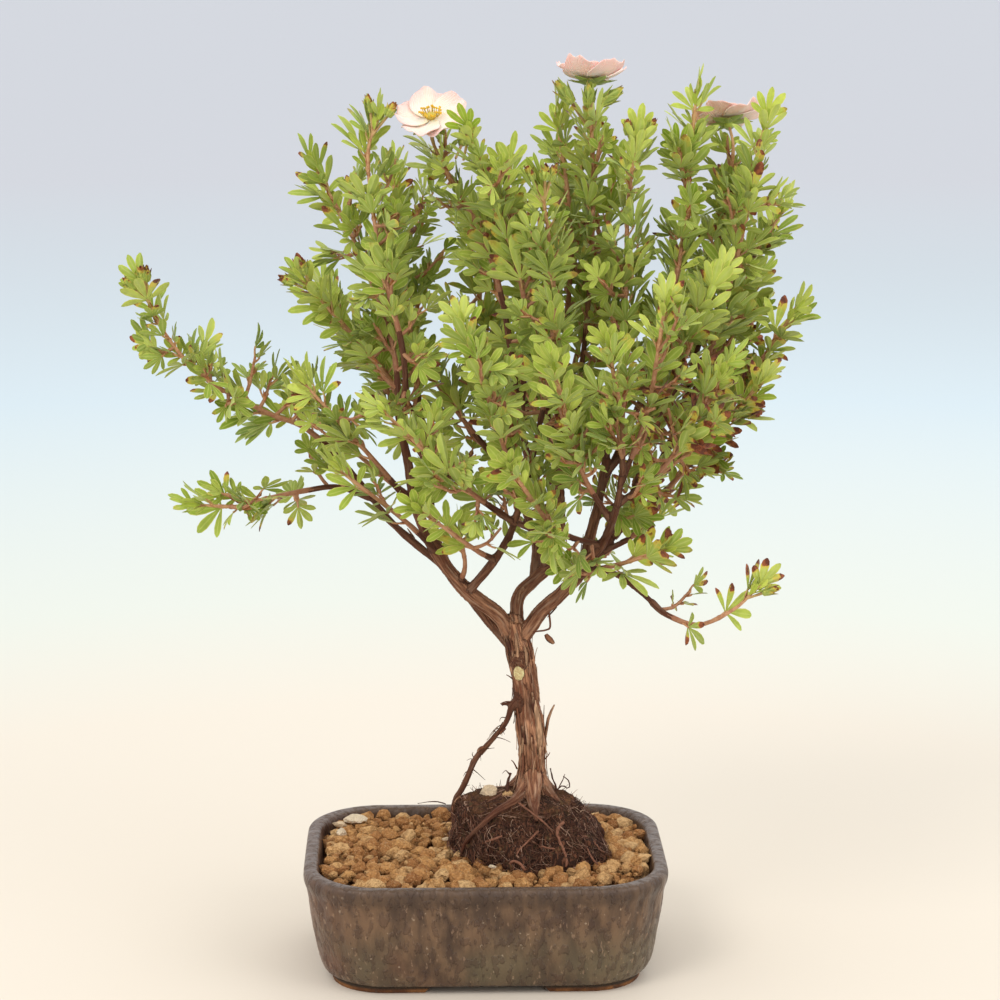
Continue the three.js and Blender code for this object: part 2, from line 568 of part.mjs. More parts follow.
// Leaves of every shoot: an upright bunch at each tip first, then a spiral down the stem
function placeLeaves() {
  randomState = LEAF.seed;
  for (const [name, limb] of Object.entries(LIMBS)) {
    take(stemBalls(limbCourses[name], 0, lengthOf(limbCourses[name]), limb.radii[0]), 'tree');
  }
  for (const shoot of shoots) {
    take(stemBalls(shoot.course, 0, shoot.split, 1.4), 'tree');
    take(stemBalls(shoot.course, shoot.split, shoot.length, 1.3), shoot.name);
  }
  for (const bloom of Object.values(BLOOMS)) {
    const facing = vector(bloom.facing).normalize();
    take([{ place: vector(bloom.centre).addScaledVector(facing, 2), radius: FLOWER.petalReach }], 'blooms');
  }
  for (const shoot of shoots) {
    shoot.leaves = [];
    const start = random() * 2 * Math.PI;
    if (!shoot.bloom) {
      shoot.leaves.push(tryLeaf(shoot, shoot.length - 1, start, radians(6), 0.8, 5, 0.75, 0.3));
      const turn = start + radians(140 + 80 * random());
      shoot.leaves.push(tryLeaf(shoot, shoot.length - 5, turn, radians(34), 0.85, 3, 0.8, 0.1));
    }
  }
  for (const shoot of shoots) {
    const top = shoot.length - (shoot.bloom ? 16 : 9);
    const run = top - shoot.split - 3;
    const count = Math.max(1, Math.round(run / SHOOT.leafSpacing));
    for (let k = 0; k < count; k++) {
      const distance = top - run * (k + 0.1 + 0.3 * random()) / count;
      const turn = radians(137.5 * (k + 1) + 30 * random()) + random();
      const lean = radians(42 + 20 * random() + 10 * k / count);
      const size = 0.86 + 0.3 * random();
      const leaflets = random() < 0.62 ? 5 : 3;
      const cup = 0.1 + 0.14 * random();
      shoot.leaves.push(tryLeaf(shoot, distance, turn, lean, size, leaflets, 1, cup));
    }
    shoot.leaves = shoot.leaves.filter((leaf) => leaf);
  }
}

/** One leaf as a thin solid: leaflets with a raised rib, cut down to the hub, on a sunk stalk. */
function makeLeaf(leaf) {
  const { hub, foot, up, side } = leaf;
  const points = [
    hub.clone().addScaledVector(up, LEAF.halfThickness),
    hub.clone().addScaledVector(up, -LEAF.halfThickness),
  ];
  const [top, bottom] = [0, 1];
  const leaflets = leafletsOf(leaf);
  const notchAt = (angle, reach) => hub.clone()
    .addScaledVector(leaf.forward, reach * Math.cos(angle)).addScaledVector(side, reach * Math.sin(angle));
  const outline = [notchAt((leaflets[0].angle - Math.PI) / 2, LEAF.notch * 0.75)];
  leaflets.forEach(({ angle, direction, across, length, halfWidth }, k) => {
    const waist = hub.clone().addScaledVector(direction, length * LEAF.waist);
    outline.push(waist.clone().addScaledVector(across, -halfWidth));
    outline.push(hub.clone().addScaledVector(direction, length));
    outline.push(waist.addScaledVector(across, halfWidth));
    const next = leaflets[k + 1];
    if (next) outline.push(notchAt((angle + next.angle) / 2, LEAF.notch));
  });
  outline.push(notchAt((leaflets[leaflets.length - 1].angle + Math.PI) / 2, LEAF.notch * 0.75));
  const firstPoint = points.length;
  points.push(...outline);
  const lastPoint = points.length - 1;
  const footPoint = points.push(foot.clone().addScaledVector(leaf.forward, -LEAF.sunk)) - 1;
  const triangles = [];
  for (let k = firstPoint; k < lastPoint; k++) triangles.push(top, k, k + 1, bottom, k + 1, k);
  triangles.push(top, lastPoint, footPoint, top, footPoint, firstPoint);
  triangles.push(bottom, footPoint, lastPoint, bottom, firstPoint, footPoint);
  return solid(geometryOf(points, triangles));
}

/** Right-handed directions for a bloom: across, along and facing. */
function bloomFrame(bloom) {
  const facing = vector(bloom.facing).normalize();
  const { first, second } = squareTo(facing, new THREE.Vector3(1, 0.2, 0));
  const centre = vector(bloom.centre);
  return (a, b, c) => {
    return centre.clone().addScaledVector(first, a).addScaledVector(second, b).addScaledVector(facing, c);
  };
}

// Five sepals, opened flat under the petals on a short cup
function makeCalyx(bloom) {
  const at = bloomFrame(bloom);
  const ring = (radii, height) => Array.from({ length: 10 }, (_, k) => {
    const reach = radii[k % 2];
    return at(reach * Math.cos(Math.PI * k / 5), reach * Math.sin(Math.PI * k / 5), height);
  });
  const under = -FLOWER.halfThickness - GAP;
  const cup = ring([1.4, 1.4], -FLOWER.calyxDepth);
  return solid(loft([cup, ring([6.2, 2.8], under - 0.9), ring([5.8, 2.6], under)]));
}

// Five round petals, each lapped over the next
function makePetals(bloom) {
  const at = bloomFrame(bloom);
  const edge = [[0, 1.1], [0.5, 0.9], [0.82, 0.9], [1, 0.42]];
  const petals = [];
  for (let petal = 0; petal < 5; petal++) {
    const turn = radians(72 * petal + 12);
    const lap = 0.12;
    const place = (reach, across, lift) => {
      const height = bloom.cup * reach * reach / FLOWER.petalReach + lap * across + 0.25 + lift;
      const a = reach * Math.cos(turn) - across * Math.sin(turn);
      const b = reach * Math.sin(turn) + across * Math.cos(turn);
      return at(a, b, height);
    };
    const outline = [];
    for (const [share, width] of edge) {
      const half = share === 0 ? width : width * FLOWER.petalHalfWidth;
      outline.push(place(share * FLOWER.petalReach, -half, 0));
    }
    for (const [share, width] of [...edge].reverse()) {
      const half = share === 0 ? width : width * FLOWER.petalHalfWidth;
      outline.push(place(share * FLOWER.petalReach, half, 0));
    }
    const middle = 0.5 * FLOWER.petalReach;
    const ribs = [FLOWER.halfThickness, -FLOWER.halfThickness].map((lift) => place(middle, 0, lift));
    const points = [...ribs, ...outline];
    const triangles = [];
    for (let k = 0; k < outline.length; k++) {
      const [a, b] = [2 + k, 2 + (k + 1) % outline.length];
      triangles.push(0, a, b, 1, b, a);
    }
    petals.push(solid(geometryOf(points, triangles)));
  }
  const heart = (reach, height) => Array.from({ length: 8 }, (_, k) => {
    return at(reach * Math.cos(Math.PI * k / 4), reach * Math.sin(Math.PI * k / 4), height);
  });
  petals.push(solid(loft([heart(1.6, -FLOWER.halfThickness), heart(2.4, 0.75)])));
  return join(petals);
}

// Tuft of stamens on the bloom's heart
function makeStamens(bloom) {
  const at = bloomFrame(bloom);
  const ring = (radii, height) => Array.from({ length: 14 }, (_, k) => {
    const reach = radii[k % 2];
    return at(reach * Math.cos(Math.PI * k / 7), reach * Math.sin(Math.PI * k / 7), height);
  });
  return solid(loft([ring([1.9, 1.5], 0.75 + GAP), ring([3.3, 2.0], 2.6), ring([1.4, 0.8], 3.2)]));
}

function makeShoot(shoot) {
  const radius = radiusFrom([SHOOT.baseRadius, SHOOT.tipRadius]);
  const steps = Math.max(2, Math.round((shoot.length - shoot.split) / 16));
  const bodies = [solid(stem(shoot.course, shoot.split + GAP, shoot.length, radius, 3, steps))];
  bodies.push(...shoot.leaves.map(makeLeaf));
  if (shoot.bloom) bodies.push(makeCalyx(BLOOMS[shoot.bloom]));
  return join(bodies);
}

const part = new THREE.Group();
function addPiece(name, body, colour, roughness) {
  const material = new THREE.MeshStandardMaterial({ color: colour, roughness, metalness: 0 });
  const mesh = new THREE.Mesh(geometryFromSolid(body), material);
  mesh.name = name;
  part.add(mesh);
}

addPiece('pot', makePot(), COLOURS.glaze, 0.35);
addPiece('soil', makeSoil(), COLOURS.grit, 0.95);
addPiece('root_mass', makeRootMass().subtract(makeTreeSocket()), COLOURS.roots, 0.95);
addPiece('tree', makeTree(), COLOURS.bark, 0.85);
placeLeaves();
for (const shoot of shoots) addPiece(`shoot_${shoot.name}`, makeShoot(shoot), COLOURS.leaf, 0.6);
for (const [name, bloom] of Object.entries(BLOOMS)) {
  addPiece(`${name}_petals`, makePetals(bloom), COLOURS.petal, 0.6);
  addPiece(`${name}_stamens`, makeStamens(bloom), COLOURS.stamen, 0.7);
}

const reach = new THREE.Box3().setFromObject(part);
const middle = reach.getCenter(new THREE.Vector3());
part.position.set(-middle.x, -middle.y, -reach.min.z);

export default part;
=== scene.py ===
import math

import bpy
import numpy as np
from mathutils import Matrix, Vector, kdtree, noise


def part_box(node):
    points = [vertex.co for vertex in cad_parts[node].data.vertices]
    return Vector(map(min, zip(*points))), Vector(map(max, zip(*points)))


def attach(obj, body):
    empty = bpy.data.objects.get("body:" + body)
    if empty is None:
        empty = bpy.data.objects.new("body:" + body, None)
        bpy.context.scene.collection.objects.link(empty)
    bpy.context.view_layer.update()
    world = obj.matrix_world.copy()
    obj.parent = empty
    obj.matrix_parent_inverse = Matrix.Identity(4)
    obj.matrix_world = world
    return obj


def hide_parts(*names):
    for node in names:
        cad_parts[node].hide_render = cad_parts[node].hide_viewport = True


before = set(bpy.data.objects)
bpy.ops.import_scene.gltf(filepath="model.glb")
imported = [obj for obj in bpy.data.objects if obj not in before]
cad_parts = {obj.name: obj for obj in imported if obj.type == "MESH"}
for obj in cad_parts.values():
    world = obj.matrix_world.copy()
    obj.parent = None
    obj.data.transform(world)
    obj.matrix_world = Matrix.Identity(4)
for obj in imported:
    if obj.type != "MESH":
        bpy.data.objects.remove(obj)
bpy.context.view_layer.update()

# Camera: a long lens above the crown, tipped down so that the whole tree and its pot are in view.
# It stands on the pot's centre line, a touch to the right of the pot's middle.
MM = 0.001
pot_low, pot_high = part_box("pot")
pot_middle = Vector(((pot_low.x + pot_high.x) / 2, (pot_low.y + pot_high.y) / 2, 0))
CAMERA = {"distance": 1.05, "height": 0.3755, "aside": 0.0056, "pitch": 11.15, "yaw": 1.5,
          "lens": 108.5, "sensor": 36}

camera_data = bpy.data.cameras.new("camera")
camera_data.lens = CAMERA["lens"]
camera_data.sensor_width = CAMERA["sensor"]
camera = bpy.data.objects.new("camera", camera_data)
bpy.context.scene.collection.objects.link(camera)
yaw = math.radians(CAMERA["yaw"])
ahead = Vector((math.sin(yaw), math.cos(yaw), 0))
aside = Vector((math.cos(yaw), -math.sin(yaw), 0))
camera.location = (pot_middle - ahead * CAMERA["distance"] + aside * CAMERA["aside"]
                   + Vector((0, 0, CAMERA["height"])))
camera.rotation_euler = (math.radians(90 - CAMERA["pitch"]), 0, -yaw)
bpy.context.scene.camera = camera


# Studio: a wide pale floor that cools towards its far edge, a broad soft light from the upper
# left, a weaker one from the right, and an even light all round.
bpy.context.scene.view_settings.view_transform = "Standard"


def paint(red, green, blue):
    """A colour read off as 0 to 255, as the shader's linear values."""
    def linear(value):
        share = value / 255
        return share / 12.92 if share <= 0.04045 else ((share + 0.055) / 1.055) ** 2.4
    return (linear(red), linear(green), linear(blue), 1)


def new_material(name, roughness, specular=0.5):
    material = bpy.data.materials.new(name)
    material.use_nodes = True
    tree = material.node_tree
    shader = tree.nodes["Principled BSDF"]
    shader.inputs["Roughness"].default_value = roughness
    shader.inputs["Specular IOR Level"].default_value = specular
    return material, tree, shader


def colour_ramp(tree, mask, stops):
    """Colours spread over a mask from 0 to 1."""
    ramp = tree.nodes.new("ShaderNodeValToRGB")
    elements = ramp.color_ramp.elements
    while len(elements) < len(stops):
        elements.new(0.5)
    for element, (position, colour) in zip(elements, stops):
        element.position = position
        element.color = paint(*colour)
    tree.links.new(mask, ramp.inputs["Fac"])
    return ramp.outputs["Color"]


FLOOR = {"spread": 60, "fade": 3.2}
FLOOR_COLOURS = [(0.0, (222, 210, 194)), (0.11, (222, 213, 199)), (0.18, (214, 217, 208)),
                 (0.4, (203, 216, 222)), (1.0, (205, 207, 213))]
SKY = {"Color": (0.97, 0.985, 1, 1), "Strength": 1.1}
LIGHTS = [  # name, place, what it points at, width, power, colour
    ("key", (-0.7, -1.0, 1.25), (0, 0, 0.17), 0.7, 8.4, (1, 0.98, 0.95)),
    ("fill", (1.0, -0.8, 0.9), (0, 0, 0.15), 0.9, 4.2, (0.98, 0.985, 1)),
    ("rim", (0.3, 1.0, 1.2), (0, 0, 0.2), 0.9, 3, (1, 1, 1))]

bpy.ops.object.select_all(action="DESELECT")
bpy.ops.mesh.primitive_plane_add(size=FLOOR["spread"], location=(0, 0, 0))
floor = bpy.context.object
floor.name = "floor"
floor_material, tree, shader = new_material("pale_floor", 0.9, 0.1)
place = tree.nodes.new("ShaderNodeTexCoord")
distance = tree.nodes.new("ShaderNodeVectorMath")
distance.operation = "LENGTH"
fade = tree.nodes.new("ShaderNodeMapRange")
fade.inputs["From Max"].default_value = FLOOR["fade"]
tree.links.new(place.outputs["Object"], distance.inputs[0])
tree.links.new(distance.outputs["Value"], fade.inputs["Value"])
tree.links.new(colour_ramp(tree, fade.outputs["Result"], FLOOR_COLOURS), shader.inputs["Base Color"])
floor.data.materials.append(floor_material)

world = bpy.data.worlds.new("studio")
world.use_nodes = True
for socket, value in SKY.items():
    world.node_tree.nodes["Background"].inputs[socket].default_value = value
bpy.context.scene.world = world

for name, location, target, width, power, colour in LIGHTS:
    data = bpy.data.lights.new(name, "AREA")
    data.shape, data.size, data.energy, data.color = "DISK", width, power, colour
    light = bpy.data.objects.new(name, data)
    light.location = location
    light.rotation_euler = (Vector(target) - Vector(location)).to_track_quat("-Z", "Y").to_euler()
    bpy.context.scene.collection.objects.link(light)


# Pot: a moulded stoneware tub with rounded corners and a rolled rim, in a grey-brown glaze that
# ran and curled while it was fired. Its wall is drawn up from the base and down again inside.
POT_LENGTH = (pot_high.x - pot_low.x) / MM
POT_WIDTH = (pot_high.y - pot_low.y) / MM
POT_CORNER = 29
BASE_CORNER = 20.5
CORNER_STEPS = 12
POT_PROFILE = [  # inset from the rim and height, up the outside and down the inside
    (14, 2.6), (9.2, 2.6), (7.8, 3.0), (6.6, 4.2), (5.4, 7.5), (4.6, 11), (3.4, 18), (2.4, 25),
    (1.7, 30), (1.35, 33), (0.95, 34.6), (0.45, 35.8), (0.15, 37), (0, 38.4), (0.1, 39.5),
    (0.6, 40.5), (1.5, 41), (3.2, 41), (4.5, 40.7), (5.2, 39.8), (5.8, 37.5), (7.2, 27), (9, 14),
    (10.5, 9.5), (13, 8), (20, 8)]
DRAIN = {"radius": 5, "aside": 30, "depth": 20, "height": 5}
GLAZED = {"from": 4, "to": 35, "fade": 3, "relief": 0.32}


def mask_group(name):
    """Clouds of a given size, drawn between two levels into a mask."""
    group = bpy.data.node_groups.new(name, "ShaderNodeTree")
    face = group.interface
    face.new_socket("Vector", in_out="INPUT", socket_type="NodeSocketVector")
    for socket, value in (("Scale", 100), ("Detail", 3), ("Low", 0.4), ("High", 0.6)):
        face.new_socket(socket, in_out="INPUT", socket_type="NodeSocketFloat").default_value = value
    face.new_socket("Mask", in_out="OUTPUT", socket_type="NodeSocketFloat")
    enter = group.nodes.new("NodeGroupInput")
    leave = group.nodes.new("NodeGroupOutput")
    cloud = group.nodes.new("ShaderNodeTexNoise")
    level = group.nodes.new("ShaderNodeMapRange")
    level.interpolation_type = "SMOOTHSTEP"
    for socket in ("Vector", "Scale", "Detail"):
        group.links.new(enter.outputs[socket], cloud.inputs[socket])
    group.links.new(cloud.outputs["Fac"], level.inputs["Value"])
    group.links.new(enter.outputs["Low"], level.inputs["From Min"])
    group.links.new(enter.outputs["High"], level.inputs["From Max"])
    group.links.new(level.outputs["Result"], leave.inputs["Mask"])
    return group


mottle = mask_group("mottle")


def mottled(tree, vector, scale, low, high, detail=3):
    """Mottling of the surface, as a mask from 0 to 1."""
    node = tree.nodes.new("ShaderNodeGroup")
    node.node_tree = mottle
    tree.links.new(vector, node.inputs["Vector"])
    for socket, value in (("Scale", scale), ("Detail", detail), ("Low", low), ("High", high)):
        node.inputs[socket].default_value = value
    return node.outputs["Mask"]


def object_place(tree, stretch=(1, 1, 1)):
    """Object coordinates, drawn out along an axis where a pattern runs along it."""
    place = tree.nodes.new("ShaderNodeTexCoord")
    mapping = tree.nodes.new("ShaderNodeMapping")
    mapping.inputs["Scale"].default_value = stretch
    tree.links.new(place.outputs["Object"], mapping.inputs["Vector"])
    return mapping.outputs["Vector"]


def mixed(tree, mask, first, second):
    """The first colour where the mask is 0 and the second where it is 1."""
    node = tree.nodes.new("ShaderNodeMix")
    node.data_type = "RGBA"
    for socket, value in ((node.inputs[6], first), (node.inputs[7], second)):
        if isinstance(value, tuple):
            socket.default_value = paint(*value)
        else:
            tree.links.new(value, socket)
    tree.links.new(mask, node.inputs[0])
    return node.outputs[2]


def worked(tree, operation, first, second):
    """Two masks, or a mask and a number, added, multiplied and so on."""
    node = tree.nodes.new("ShaderNodeMath")
    node.operation = operation
    for socket, value in zip(node.inputs, (first, second)):
        if isinstance(value, (int, float)):
            socket.default_value = value
        else:
            tree.links.new(value, socket)
    return node.outputs[0]


def layered(tree, body, coats):
    """Colours laid over one another, each through its mask and at a strength from 0 to 1."""
    for mask, strength, colour in coats:
        mask = mask if strength == 1 else worked(tree, "MULTIPLY", mask, strength)
        body = mixed(tree, mask, body, colour)
    return body


def finished(tree, shader, body, relief, depth):
    """The colour put on a skin, with low relief of a given depth in metres."""
    bump = tree.nodes.new("ShaderNodeBump")
    bump.inputs["Strength"].default_value = 1
    bump.inputs["Distance"].default_value = depth
    tree.links.new(relief, bump.inputs["Height"])
    tree.links.new(bump.outputs["Normal"], shader.inputs["Normal"])
    tree.links.new(body, shader.inputs["Base Color"])


def ranged(tree, value, low, high, to_low=0.0, to_high=1.0):
    """A value between two levels, spread from one number to another."""
    node = tree.nodes.new("ShaderNodeMapRange")
    ends = {"From Min": low, "From Max": high, "To Min": to_low, "To Max": to_high}
    for socket, number in ends.items():
        node.inputs[socket].default_value = number
    tree.links.new(value, node.inputs["Value"])
    return node.outputs["Result"]


def separated(tree, vector):
    node = tree.nodes.new("ShaderNodeSeparateXYZ")
    tree.links.new(vector, node.inputs[0])
    return node.outputs


def deselect():
    bpy.ops.object.select_all(action="DESELECT")


def pick(piece):
    """Only this piece selected and active."""
    deselect()
    piece.select_set(True)
    bpy.context.view_layer.objects.active = piece


def applied(piece, kind, **settings):
    """A modifier put on a piece and applied."""
    modifier = piece.modifiers.new(kind.lower(), kind)
    for key, value in settings.items():
        setattr(modifier, key, value)
    pick(piece)
    bpy.ops.object.modifier_apply(modifier=modifier.name)


def points_of(mesh, what="co"):
    """The points of a mesh, or the directions that it faces at them."""
    values = np.empty(len(mesh.vertices) * 3)
    mesh.vertices.foreach_get(what, values)
    return values.reshape(-1, 3)


def smooth(piece, angle=180):
    """Shaded smooth, but for edges sharper than the angle."""
    pick(piece)
    if angle == 180:
        bpy.ops.object.shade_smooth()
    else:
        bpy.ops.object.shade_smooth_by_angle(angle=math.radians(angle))


def begin_edit():
    """What was just placed, opened with all of it selected."""
    bpy.ops.object.transform_apply(location=True, rotation=True, scale=True)
    bpy.ops.object.mode_set(mode="EDIT")
    bpy.ops.mesh.select_all(action="SELECT")


def drawn_on(step, grow, centre):
    """The selected end face drawn on by a step, then widened about a centre."""
    bpy.ops.mesh.extrude_region_move(TRANSFORM_OT_translate={"value": step})
    bpy.ops.transform.resize(value=grow, center_override=centre)


def end_edit():
    """All faces turned outwards, and the shape closed again."""
    bpy.ops.mesh.select_all(action="SELECT")
    bpy.ops.mesh.normals_make_consistent(inside=False)
    bpy.ops.object.mode_set(mode="OBJECT")


def plate(middle, length, width):
    """A flat oblong, open for drawing on."""
    deselect()
    bpy.ops.mesh.primitive_plane_add(size=1, location=middle)
    piece = bpy.context.object
    piece.scale = (length, width, 1)
    begin_edit()
    return piece


def drawn_up(profile, corner, corner_steps):
    """A rounded oblong tub, drawn through a profile of (inset from the rim, height)."""
    start, height = profile[0]
    size = [(POT_LENGTH - 2 * start) * MM, (POT_WIDTH - 2 * start) * MM]
    tub = plate((pot_middle.x, pot_middle.y, height * MM), *size)
    bpy.ops.mesh.bevel(offset=corner * MM, segments=corner_steps, affect="VERTICES")
    bpy.ops.mesh.select_all(action="SELECT")
    for inset, level in profile[1:]:
        wanted = [(POT_LENGTH - 2 * inset) * MM, (POT_WIDTH - 2 * inset) * MM]
        drawn_on((0, 0, (level - height) * MM), (wanted[0] / size[0], wanted[1] / size[1], 1),
                 (pot_middle.x, pot_middle.y, level * MM))
        size, height = wanted, level
    end_edit()
    return tub


pot = drawn_up(POT_PROFILE, BASE_CORNER, CORNER_STEPS)
pot.name = "glazed_pot"
applied(pot, "SUBSURF", levels=2, render_levels=2)
for side in (-1, 1):
    deselect()
    bpy.ops.mesh.primitive_cylinder_add(
        vertices=32, radius=DRAIN["radius"] * MM, depth=DRAIN["depth"] * MM,
        location=(pot_middle.x + side * DRAIN["aside"] * MM, pot_middle.y, DRAIN["height"] * MM))
    drill = bpy.context.object
    applied(pot, "BOOLEAN", object=drill, operation="DIFFERENCE", solver="EXACT")
    bpy.data.objects.remove(drill)


def wall_relief(point):
    """Runs and curls of thick glaze on the outside of the wall, in millimetres."""
    x, y, _ = point / MM
    height = point.z / MM
    fade_out = min(1, (GLAZED["to"] - height) / GLAZED["fade"],
                   (height - GLAZED["from"]) / GLAZED["fade"])
    if fade_out < 0:
        return 0.0
    run = noise.noise(Vector((x * 0.16, y * 0.16, height * 0.07)))
    curl = noise.noise(Vector((x * 0.42, y * 0.42, height * 0.26 + 3 * run)))
    return fade_out * GLAZED["relief"] * (0.8 * run + 1.3 * max(0, 0.32 - abs(curl)) - 0.2)


shaped = points_of(pot.data)
for k, (point, normal) in enumerate(zip(shaped, points_of(pot.data, "normal"))):
    outward = normal[0] * (point[0] - pot_middle.x) + normal[1] * (point[1] - pot_middle.y)
    if outward > 0.02:
        shaped[k] += normal * wall_relief(Vector(point)) * MM
pot.data.vertices.foreach_set("co", shaped.ravel())
smooth(pot, 50)

glaze, tree, shader = new_material("grey_brown_glaze", 0.4, 0.34)
spot = object_place(tree)
sideways, _, heights = separated(tree, spot)
runs = mottled(tree, object_place(tree, (1, 1, 0.3)), 190, 0.3, 0.7, 5)
curls = mottled(tree, object_place(tree, (1, 1, 0.5)), 430, 0.52, 0.62, 4)
flecks = mottled(tree, object_place(tree, (1, 1, 0.45)), 640, 0.63, 0.7, 4)
specks = mottled(tree, spot, 520, 0.7, 0.74, 2)
drift = worked(tree, "MULTIPLY", mottled(tree, spot, 26, 0.3, 0.7), 0.03)
to_left = ranged(tree, worked(tree, "ADD", sideways, drift), -0.012, -0.045)
low_down = worked(tree, "MULTIPLY", ranged(tree, heights, 0.027, 0.012),
                  mottled(tree, spot, 30, 0.36, 0.6, 4))
rim_top = ranged(tree, heights, 0.0392, 0.0406)
# Painted shade: the glaze just below the rolled rim, outside and in, is darkened as the rim's shadow.
shade_under_rim = worked(tree, "MULTIPLY", ranged(tree, heights, 0.0335, 0.0362),
                   worked(tree, "SUBTRACT", 1, rim_top))
body = layered(tree, mixed(tree, runs, (68, 50, 38), (114, 87, 64)), [
    (to_left, 0.65, (98, 57, 41)),
    (low_down, 0.7, (98, 88, 66)),
    (curls, 0.4, (66, 44, 34)),
    (flecks, 0.42, (160, 130, 104)),
    (specks, 0.36, (196, 174, 148)),
    (shade_under_rim, 0.5, (66, 50, 40)),
    (rim_top, 0.8, (82, 62, 47))])
finished(tree, shader, body, worked(tree, "ADD", curls, worked(tree, "MULTIPLY", runs, 2)), 0.0003)
tree.links.new(ranged(tree, curls, 0, 1, 0.36, 0.55), shader.inputs["Roughness"])
shader.inputs["Coat Weight"].default_value = 0.08
shader.inputs["Coat Roughness"].default_value = 0.25
pot.data.materials.clear()
pot.data.materials.append(glaze)
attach(pot, "root")
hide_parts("pot")


# Feet: four low corner feet of bare stoneware, pressed on under the tub, with sloped inner ends.
# The ash in the kiln left them amber.
FOOT = {"inset": 10, "length": 43, "width": 28, "slant": 3, "height": 3.0, "rounding": 0.5}

feet = []
underside = drawn_up([(FOOT["inset"], -1), (FOOT["inset"], 5)], POT_CORNER - FOOT["inset"],
                     CORNER_STEPS)
grow = (1 + FOOT["slant"] / FOOT["length"], 1 + FOOT["slant"] / FOOT["width"], 1)
for side_x in (-1, 1):
    for side_y in (-1, 1):
        corner = (pot_middle.x + side_x * POT_LENGTH / 2 * MM,
                  pot_middle.y + side_y * POT_WIDTH / 2 * MM, 0)
        middle = (corner[0] - side_x * FOOT["length"] / 2 * MM,
                  corner[1] - side_y * FOOT["width"] / 2 * MM, 0)
        foot = plate(middle, FOOT["length"] * MM, FOOT["width"] * MM)
        drawn_on((0, 0, FOOT["height"] * MM), grow, corner)
        end_edit()
        applied(foot, "BOOLEAN", object=underside, operation="INTERSECT", solver="EXACT")
        applied(foot, "BEVEL", width=FOOT["rounding"] * MM, segments=2, limit_method="ANGLE")
        feet.append(foot)
bpy.data.objects.remove(underside)
pick(feet[0])
for foot in feet:
    foot.select_set(True)
bpy.ops.object.join()
feet = bpy.context.object
feet.name = "pot_feet"
smooth(feet, 35)
clay, tree, shader = new_material("amber_stoneware", 0.7, 0.3)
spot = object_place(tree)
amber = mixed(tree, mottled(tree, spot, 160, 0.4, 0.65), (88, 52, 28), (132, 86, 46))
body = layered(tree, amber, [
    # The upper part of each foot is darker: partly a dark glaze run onto it, partly painted shade under
    # the tub's edge.
    (ranged(tree, separated(tree, spot)[2], 0.0011, 0.0018), 1, (56, 43, 30)),
    (mottled(tree, spot, 900, 0.6, 0.7), 1, (78, 56, 40))])
finished(tree, shader, body, mottled(tree, spot, 1500, 0.3, 0.7), 0.0001)
feet.data.materials.append(clay)
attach(feet, "root")


# Grit: fired akadama clay in crumbly tan lumps of three to six millimetres, poured round the
# roots up to the rim, with smaller crumbs between, over a bed of the same.
GRIT = {"level": 37.9, "pitch": 5.6, "row": 0.866, "inset": 5.6, "crumbs": 520, "seed": 11}
LUMP_RADII = [1.8, 2.4, 2.8, 3.2, 3.9]
LUMP_SHARES = [0.14, 0.26, 0.3, 0.2, 0.1]
BED_PROFILE = [(12, 9), (9.5, 15), (7.0, 28), (6.4, 33.6), (12, 35)]
STRAYS = [  # pale stones: place, half-length, half-width and half-thickness, shade and paleness
    ((1.6, -2, 61.0), (3.4, 3.0, 3.0), (1, 0.55)), ((8.4, -5, 60.6), (2.4, 2.1, 1.9), (0.8, 0.1)),
    ((-0.6, -13.5, 55.2), (1.5, 1.2, 0.9), (0.9, 0.25)),
    ((-48.0, 31, 41.6), (5.2, 3.2, 1.2), (1, 0.75)), ((-53.5, 26, 41.2), (2.6, 1.8, 1.0), (1, 0.5)),
    ((-52.4, 15, 41.0), (2.2, 1.6, 1.7), (1, 0.7)), ((-13.5, 4, 42.0), (2.0, 1.5, 0.7), (0.9, 0.5)),
    ((2.0, -29, 42.0), (1.6, 0.9, 0.6), (1, 0.7))]
ROOT_MASS = [  # height, middle X, half-length in X, half-width in Y
    (17, 16, 18, 16), (28, 17, 26, 23), (40, 17.5, 28, 26), (46, 15.5, 26.2, 24),
    (52, 13.5, 24, 20.5), (57.5, 11.5, 21, 15.5), (60.5, 12, 14, 10), (62.2, 12.5, 5, 3.5)]
ROOT_MASS_Y = -1


def root_mass_point(angle, height, grow=0.0):
    """A point on the root mass at an angle round it and a height, in millimetres."""
    k = 0
    while k < len(ROOT_MASS) - 2 and ROOT_MASS[k + 1][0] < height:
        k += 1
    low, high = ROOT_MASS[k], ROOT_MASS[k + 1]
    share = min(max((height - low[0]) / (high[0] - low[0]), 0), 1)
    middle, half_x, half_y = (low[c] + (high[c] - low[c]) * share for c in (1, 2, 3))
    lobe = 1 + 0.05 * math.sin(5 * angle + height / 9) + 0.035 * math.sin(9 * angle - height / 5)
    return np.array([middle + (half_x * lobe + grow) * math.cos(angle),
                     ROOT_MASS_Y + (half_y * lobe + grow) * math.sin(angle), height])


def new_heap():
    """One piece's points and faces as they are gathered, in millimetres from the pot's middle."""
    return {"points": [], "faces": [], "slots": [], "place": [], "look": [], "count": 0}


def heap_up(heap, points, faces, slot=0, place=None, look=(0, 0, 0)):
    base = heap["count"]
    heap["points"].append(points)
    heap["faces"].extend([tuple(corner + base for corner in face) for face in faces])
    heap["slots"].extend([slot] * len(faces))
    heap["place"].append(np.zeros_like(points) if place is None else place)
    heap["look"].append(np.tile(np.asarray(look, float), (len(points), 1)))
    heap["count"] += len(points)


